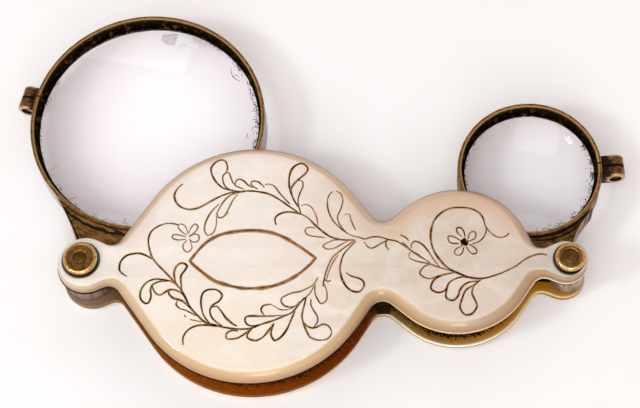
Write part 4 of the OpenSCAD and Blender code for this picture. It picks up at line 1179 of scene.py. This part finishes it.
def makeLug(size, arm):
    half, reach, length = arms["lugHalf"], arm["lugReach"], arm["lugLength"]
    outer, inner, taper = reach - half, lugShape["root"], lugShape["rootTaper"]
    outline = [(inner - lugShape["rootDepth"], -half + taper), (outer, -half)]
    outline += [(outer + half * math.cos(math.radians(a)), half * math.sin(math.radians(a)))
                for a in range(-75, 90, 15)]
    outline += [(outer, half), (inner - lugShape["rootDepth"], half - taper)]
    shankR, around = lugShape["holeR"], lugShape["holeAround"]
    verts, faces, worn, grime = [], [], [], []
    for s in (1, -1):
        near, far = s * arms["splitWidth"] / 2, s * length / 2
        headed = s == arm["headSide"]
        holeR = (arms["screwHeadR"] + lugShape["headGap"]) if headed else shankR

        def section(y, inset, rubbed, dirt):
            worn.extend([rubbed] * len(outline))
            grime.extend([max(dirt, 0.7 if x < inner else 0) for x, z in outline])
            return addLoop(verts, [(outer + (x - outer) * (1 - inset), y, z * (1 - inset))
                                   for x, z in outline])
        loops = [section(near, 0, 0, 0.8), section(near + s * 0.12, 0, 0.2, 0.3),
                 section(near + s * 0.5, 0, 0, 0.2), section(far - s * 0.4, 0, 0, 0.15),
                 section(far - s * 0.16, 0, 0.8, 0), section(far - s * 0.05, 0.03, 1, 0),
                 section(far, 0.1, 1, 0)]
        skin(faces, loops)

        def hole(y, r, rubbed):
            worn.extend([rubbed] * around)
            grime.extend([1 - rubbed] * around)
            return addLoop(verts, [(x, y, z) for x, z, _ in circle(r, 0, around, outer)])
        sunk = far - s * lugShape["headDepth" if headed else "endDepth"]
        rings = [hole(far, holeR, 1), hole(far - s * 0.1, holeR, 0), hole(sunk, holeR, 0),
                 hole(sunk, shankR, 0), hole(near, shankR, 0)]
        skin(faces, rings)
        for loop, opening in ((loops[-1], rings[0]), (loops[0], rings[-1])):
            flat = [[Vector((verts[i].x, verts[i].z, 0)) for i in part] for part in (loop, opening)]
            faces += [tuple((loop + opening)[i] for i in tri) for tri in tessellate_polygon(flat)]
    makePiece(size + "Lug", verts, faces, size + "_arm", [metal["lug"]], "dark_brass", (),
              lugPlace(arm), worn=worn, grime=grime)


# The clamp screw, with a slotted head sunk in the end of the lug
screws = {"shankR": 0.5, "headR": 0.9, "headTall": 0.8, "headSink": 0.35, "endSink": 0.3,
          "slotHalf": (0.68, 0.14), "slotDeep": 0.25, "slotTurn": 25, "around": 32}


def makeScrew(size, arm):
    head, shank, length = screws["headR"], screws["shankR"], arm["lugLength"]
    top = length / 2 - screws["headSink"]
    under, end = top - screws["headTall"], screws["endSink"] - length / 2
    verts, faces = [], []
    loops = [addLoop(verts, circle(r, z, screws["around"])) for r, z in
             ((shank - 0.08, end), (shank, end + 0.08), (shank, under), (head - 0.08, under),
              (head, under + 0.08), (head, top - 0.12), (head - 0.04, top - 0.04),
              (head - 0.12, top))]
    skin(faces, loops)
    turn = Matrix.Rotation(math.radians(screws["slotTurn"]), 4, "Z")
    w, h = screws["slotHalf"]
    slot = [addLoop(verts, [turn @ Vector((x, y, z)) for x, y in
                            ((w, h), (-w, h), (-w, -h), (w, -h))])
            for z in (top, top - screws["slotDeep"])]
    bridge(faces, *slot)
    cap(verts, faces, loops[-1], slot[0])
    cap(verts, faces, slot[1])
    cap(verts, faces, loops[0])
    place = (lugPlace(arm) @ Matrix.Translation((arm["lugReach"] - arms["lugHalf"], 0, 0))
             @ Matrix.Rotation(math.radians(-90 * arm["headSide"]), 4, "X"))
    makePiece(size + "RingScrew", verts, faces, size + "_arm", [metal["screw"]], "pin_brass",
              [size + "_ring_screw"], place)


# Dirt caught where the glass meets the ring, and the old chips and cracks of the large lens, which
# are given by the photo pixels that they run through.
lensMarks = {
    "large": {"grains": 620, "thick": (-40, 60), "hairs": 26},
    "small": {"grains": 420, "thick": (-90, 30), "hairs": 8},    # degrees where the dirt is thick
    "grainSize": 0.19, "grainSeed": 5, "spread": 0.36, "thin": 0.45, "seed": 155,
    "hairWidth": 0.05, "hairFrom": (150, 300), "hairDeep": 0.5, "hairLength": (0.6, 1.8),
    "hairPoints": 8, "hairCurl": 0.25,
    "cracks": {"width": 0.09, "relief": 0.3, "lines": [
        [(231, 68), (231.3, 73), (233, 77), (236, 79.5), (240, 81)],
        [(233, 77), (236, 75), (239, 77)],
        [(251.5, 131), (253, 127.5), (256, 126), (258.3, 129)],
        [(253, 133), (256, 131), (258.5, 133), (258, 138)],
        [(253.5, 110), (256, 111.5), (257, 114)],
        [(254, 104), (256.3, 106), (256.5, 109)],
        [(250.5, 97), (253, 101), (254.5, 106)],
        [(246, 139), (247.5, 136), (247, 133)]]},
    "flakes": {    # edge points of each flake, and how light it is: painted light and shade on its broken faces
        "bright": ([(178.5, 34), (191, 36.5), (195.5, 47.5), (190, 49), (184, 41.5),
                    (175, 46)], 1.0),
        "spike": ([(196, 40.5), (199, 40), (198, 51), (195.8, 48)], 1.0),
        "shade": ([(163, 35), (178, 33.5), (175, 45), (168, 44.5), (161, 41)], 0.45),
        "corner": ([(191.8, 36.8), (203, 41), (199.5, 45), (196, 44)], 0.6),
        "sliver": ([(204, 41.5), (212, 46), (209, 48.5), (202, 44.5)], 0.75)},
}


def onLens(arm, px, py, lift=0.01):    # the point of the lens's face that the photo shows there
    centre = ringPlace(arm).translation
    curve, z = lensCurve(arm), arms["midZ"] + 0.5
    for _ in range(4):
        point = throughPixel(px, py, z)
        r = min((point.xy - centre.xy).length, arm["ringR"] - arms["rimWall"])
        z = arms["midZ"] + curve(r) + lift
    return point


# Puts a small rough grain on every point
def makeGrainTree():
    tree, given = startTree("dirtGrains", (("Geometry", "Geometry"), ("Size", "Float"),
                                           ("Seed", "Int"), ("Dirt", "Material")))
    grain = put(tree, "GeometryNodeMeshIcoSphere", {"Radius": given["Size"], "Subdivisions": 1})
    turn, scale = (put(tree, "FunctionNodeRandomValue", {0: low, 1: high, 8: given["Seed"]},
                       data_type="FLOAT_VECTOR")
                   for low, high in (((0, 0, 0), (6.28, 6.28, 6.28)),
                                     ((0.25, 0.25, 0.2), (1.1, 0.7, 0.35))))
    placed = put(tree, "GeometryNodeInstanceOnPoints",
                 {"Points": given["Geometry"], "Instance": grain.outputs["Mesh"],
                  "Rotation": turn.outputs[0], "Scale": scale.outputs[0]})
    return endTree(tree, placed.outputs[0], given["Dirt"])


def makeDirt():
    material, tree = newMaterial("rimDirt")
    mottle = fade(tree, cloud(tree, objectPlace(tree), 1 / 0.9), 0.42, 0.62)
    return finishMaterial(material, put(tree, "ShaderNodeBsdfPrincipled", {
        "Base Color": mixColour(tree, mottle, (26, 17, 12), (112, 88, 68)), "Roughness": 0.9,
        "Specular IOR Level": 0.05}))


# The chips' white and grey are painted light and shade on their broken faces
def makeChippedGlass():
    material, tree = newMaterial("chippedGlass")
    breaks = fade(tree, cloud(tree, objectPlace(tree), 1 / 1.5, 3.0), 0.3, 0.7, -0.12, 0.12)
    tone = maths(tree, "ADD", pieceValue(tree, "tone"), breaks, clamp=True)
    return finishMaterial(material, put(tree, "ShaderNodeBsdfPrincipled", {
        "Base Color": mixColour(tree, tone, (196, 184, 192), (255, 255, 255)),
        "Roughness": 0.25}))


def makeRimDirt(size, arm, trees, dirt):
    look, curve, place = lensMarks[size], lensCurve(arm), ringPlace(arm)
    chance = random.Random(lensMarks["seed"])
    lip = arm["ringR"] - arms["lipWidth"]
    low, high = look["thick"]

    def onFace(a, r, lift=0.0):
        world = math.radians(a - arm["turn"])
        return place @ Vector((r * math.cos(world), r * math.sin(world), curve(r) + lift))
    points = []
    while len(points) < look["grains"]:
        a = chance.uniform(-180, 180)
        thick = 1 if low < a < high else lensMarks["thin"]
        if noise.noise(Vector((a * 0.12, arm["x"], 0))) * 0.9 + 0.45 < chance.random() / thick:
            continue
        r = lip + 0.02 - abs(chance.gauss(0, lensMarks["spread"])) * thick
        points.append(onFace(a, r) * mm)
    mesh = bpy.data.meshes.new(size + "Grains")
    mesh.from_pydata(points, [], [])
    growPiece(size + "RimDirt", linkPiece(size + "Grains", mesh), trees["grain"],
              {"Size": lensMarks["grainSize"] * mm, "Seed": lensMarks["grainSeed"],
               "Dirt": dirt}, size + "_arm")
    hairs, count = [], lensMarks["hairPoints"]
    for _ in range(look["hairs"]):
        a = math.radians(chance.uniform(*lensMarks["hairFrom"]))
        r = lip - chance.uniform(0, lensMarks["hairDeep"])
        turn, length = chance.uniform(-1, 1), chance.uniform(*lensMarks["hairLength"])
        heading, line = a + math.pi + turn, []
        for i in range(count):
            local = Vector((r * math.cos(a), r * math.sin(a))) \
                + Vector((math.cos(heading), math.sin(heading))) * length * i / (count - 1)
            heading += turn * lensMarks["hairCurl"]
            far = min(local.length, lip)
            line.append(onFace(math.degrees(math.atan2(local.y, local.x)), far, 0.01))
        hairs.append(line)
    curvePiece(size + "RimHairs", hairs, lensMarks["hairWidth"], 1.0, 1.0, trees["line"], dirt,
               size + "_arm")


def makeLensMarks(trees, dirt):
    arm = arms["large"]
    cracks = lensMarks["cracks"]
    lines = [[onLens(arm, px, py) for px, py in line] for line in cracks["lines"]]
    curvePiece("lensCracks", lines, cracks["width"], cracks["relief"], 1.0, trees["line"], dirt,
               "large_arm")
    verts, faces, tones = [], [], []
    for edge, tone in lensMarks["flakes"].values():    # each a low pyramid on the glass
        rim = addLoop(verts, [onLens(arm, px, py) for px, py in edge])
        low = addLoop(verts, [onLens(arm, px, py, -0.03) for px, py in edge])
        middle = len(verts)
        verts.append(sum((verts[i] for i in rim), Vector()) / len(rim) + Vector((0, 0, 0.05)))
        faces += [(rim[i], rim[(i + 1) % len(rim)], middle) for i in range(len(rim))]
        bridge(faces, low, rim)
        cap(verts, faces, low)
        tones += [tone - 0.1] * len(edge) * 2 + [tone]
    makePiece("lensFlakes", verts, faces, "large_arm", [makeChippedGlass()], "glass", sharp=10,
              tone=tones)


trees, dirt = {"line": lineTree, "grain": makeGrainTree()}, makeDirt()
for size in ("large", "small"):
    for make in (makeRing, makeLug, makeLens, makeBarrel, makeFoot, makeScrew):
        make(size, arms[size])
    makeRimDirt(size, arms[size], trees, dirt)
makeLensMarks(trees, dirt)
print("arms made")


# Table and light. A lamp: place and size in metres, power, colour.
light = {
    "lamps": {"key": ((-0.66, -0.28, 0.72), 0.16, 2.0, (0.92, 1.0, 1.02)),
              "front": ((0.05, -0.80, 0.50), 0.24, 1.0, (0.94, 1.0, 1.02)),
              "tent": ((-0.1, -0.46, 1.04), 0.95, 5.75, (0.93, 1.0, 1.01)),
              "window": ((0.46, 0.85, 0.9), 0.5, 0.2, (1.0, 0.97, 1.0))},
    "world": 0.525, "worldColour": (1.0, 0.87, 0.84),
    "table": (251, 249, 249), "tableMottle": (249, 246, 246), "lift": 0.04,
}


def makeTableTop():
    material, tree = newMaterial("tableTop")
    soft = fade(tree, cloud(tree, objectPlace(tree), 1 / 0.06, 4.0), 0.4, 0.7)
    shader = put(tree, "ShaderNodeBsdfPrincipled",
                 {"Base Color": mixColour(tree, soft, light["table"], light["tableMottle"]),
                  "Roughness": 0.7, "Specular IOR Level": 0.1})
    path = put(tree, "ShaderNodeLightPath").outputs
    seen = maths(tree, "ADD", path["Is Camera Ray"], path["Is Glossy Ray"])
    seen = maths(tree, "ADD", seen, path["Is Transmission Ray"], clamp=True)
    lift = put(tree, "ShaderNodeEmission", {"Strength": maths(tree, "MULTIPLY", seen,
                                                              light["lift"])})
    return finishMaterial(material, put(tree, "ShaderNodeAddShader", {0: shader.outputs[0],
                                                                      1: lift.outputs[0]}))


def makeStage():
    mesh = bpy.data.meshes.new("table")
    mesh.from_pydata([(-3, -3, 0), (3, -3, 0), (3, 3, 0), (-3, 3, 0)], [], [(0, 1, 2, 3)])
    mesh.materials.append(makeTableTop())
    linkPiece("table", mesh)
    for name, (place, *settings) in light["lamps"].items():
        data = bpy.data.lights.new(name, "AREA")
        data.size, data.energy, data.color = settings
        lamp = linkPiece(name, data)
        lamp.location = place
        lamp.rotation_euler = (-Vector(place)).to_track_quat("-Z", "Y").to_euler()
    world = bpy.data.worlds.new("room")
    bpy.context.scene.world = world
    world.use_nodes = True
    room = world.node_tree.nodes["Background"]
    room.inputs[0].default_value = (*light["worldColour"], 1)
    room.inputs[1].default_value = light["world"]
    bpy.context.scene.view_settings.view_transform = "Standard"


makeStage()
print("stage made")
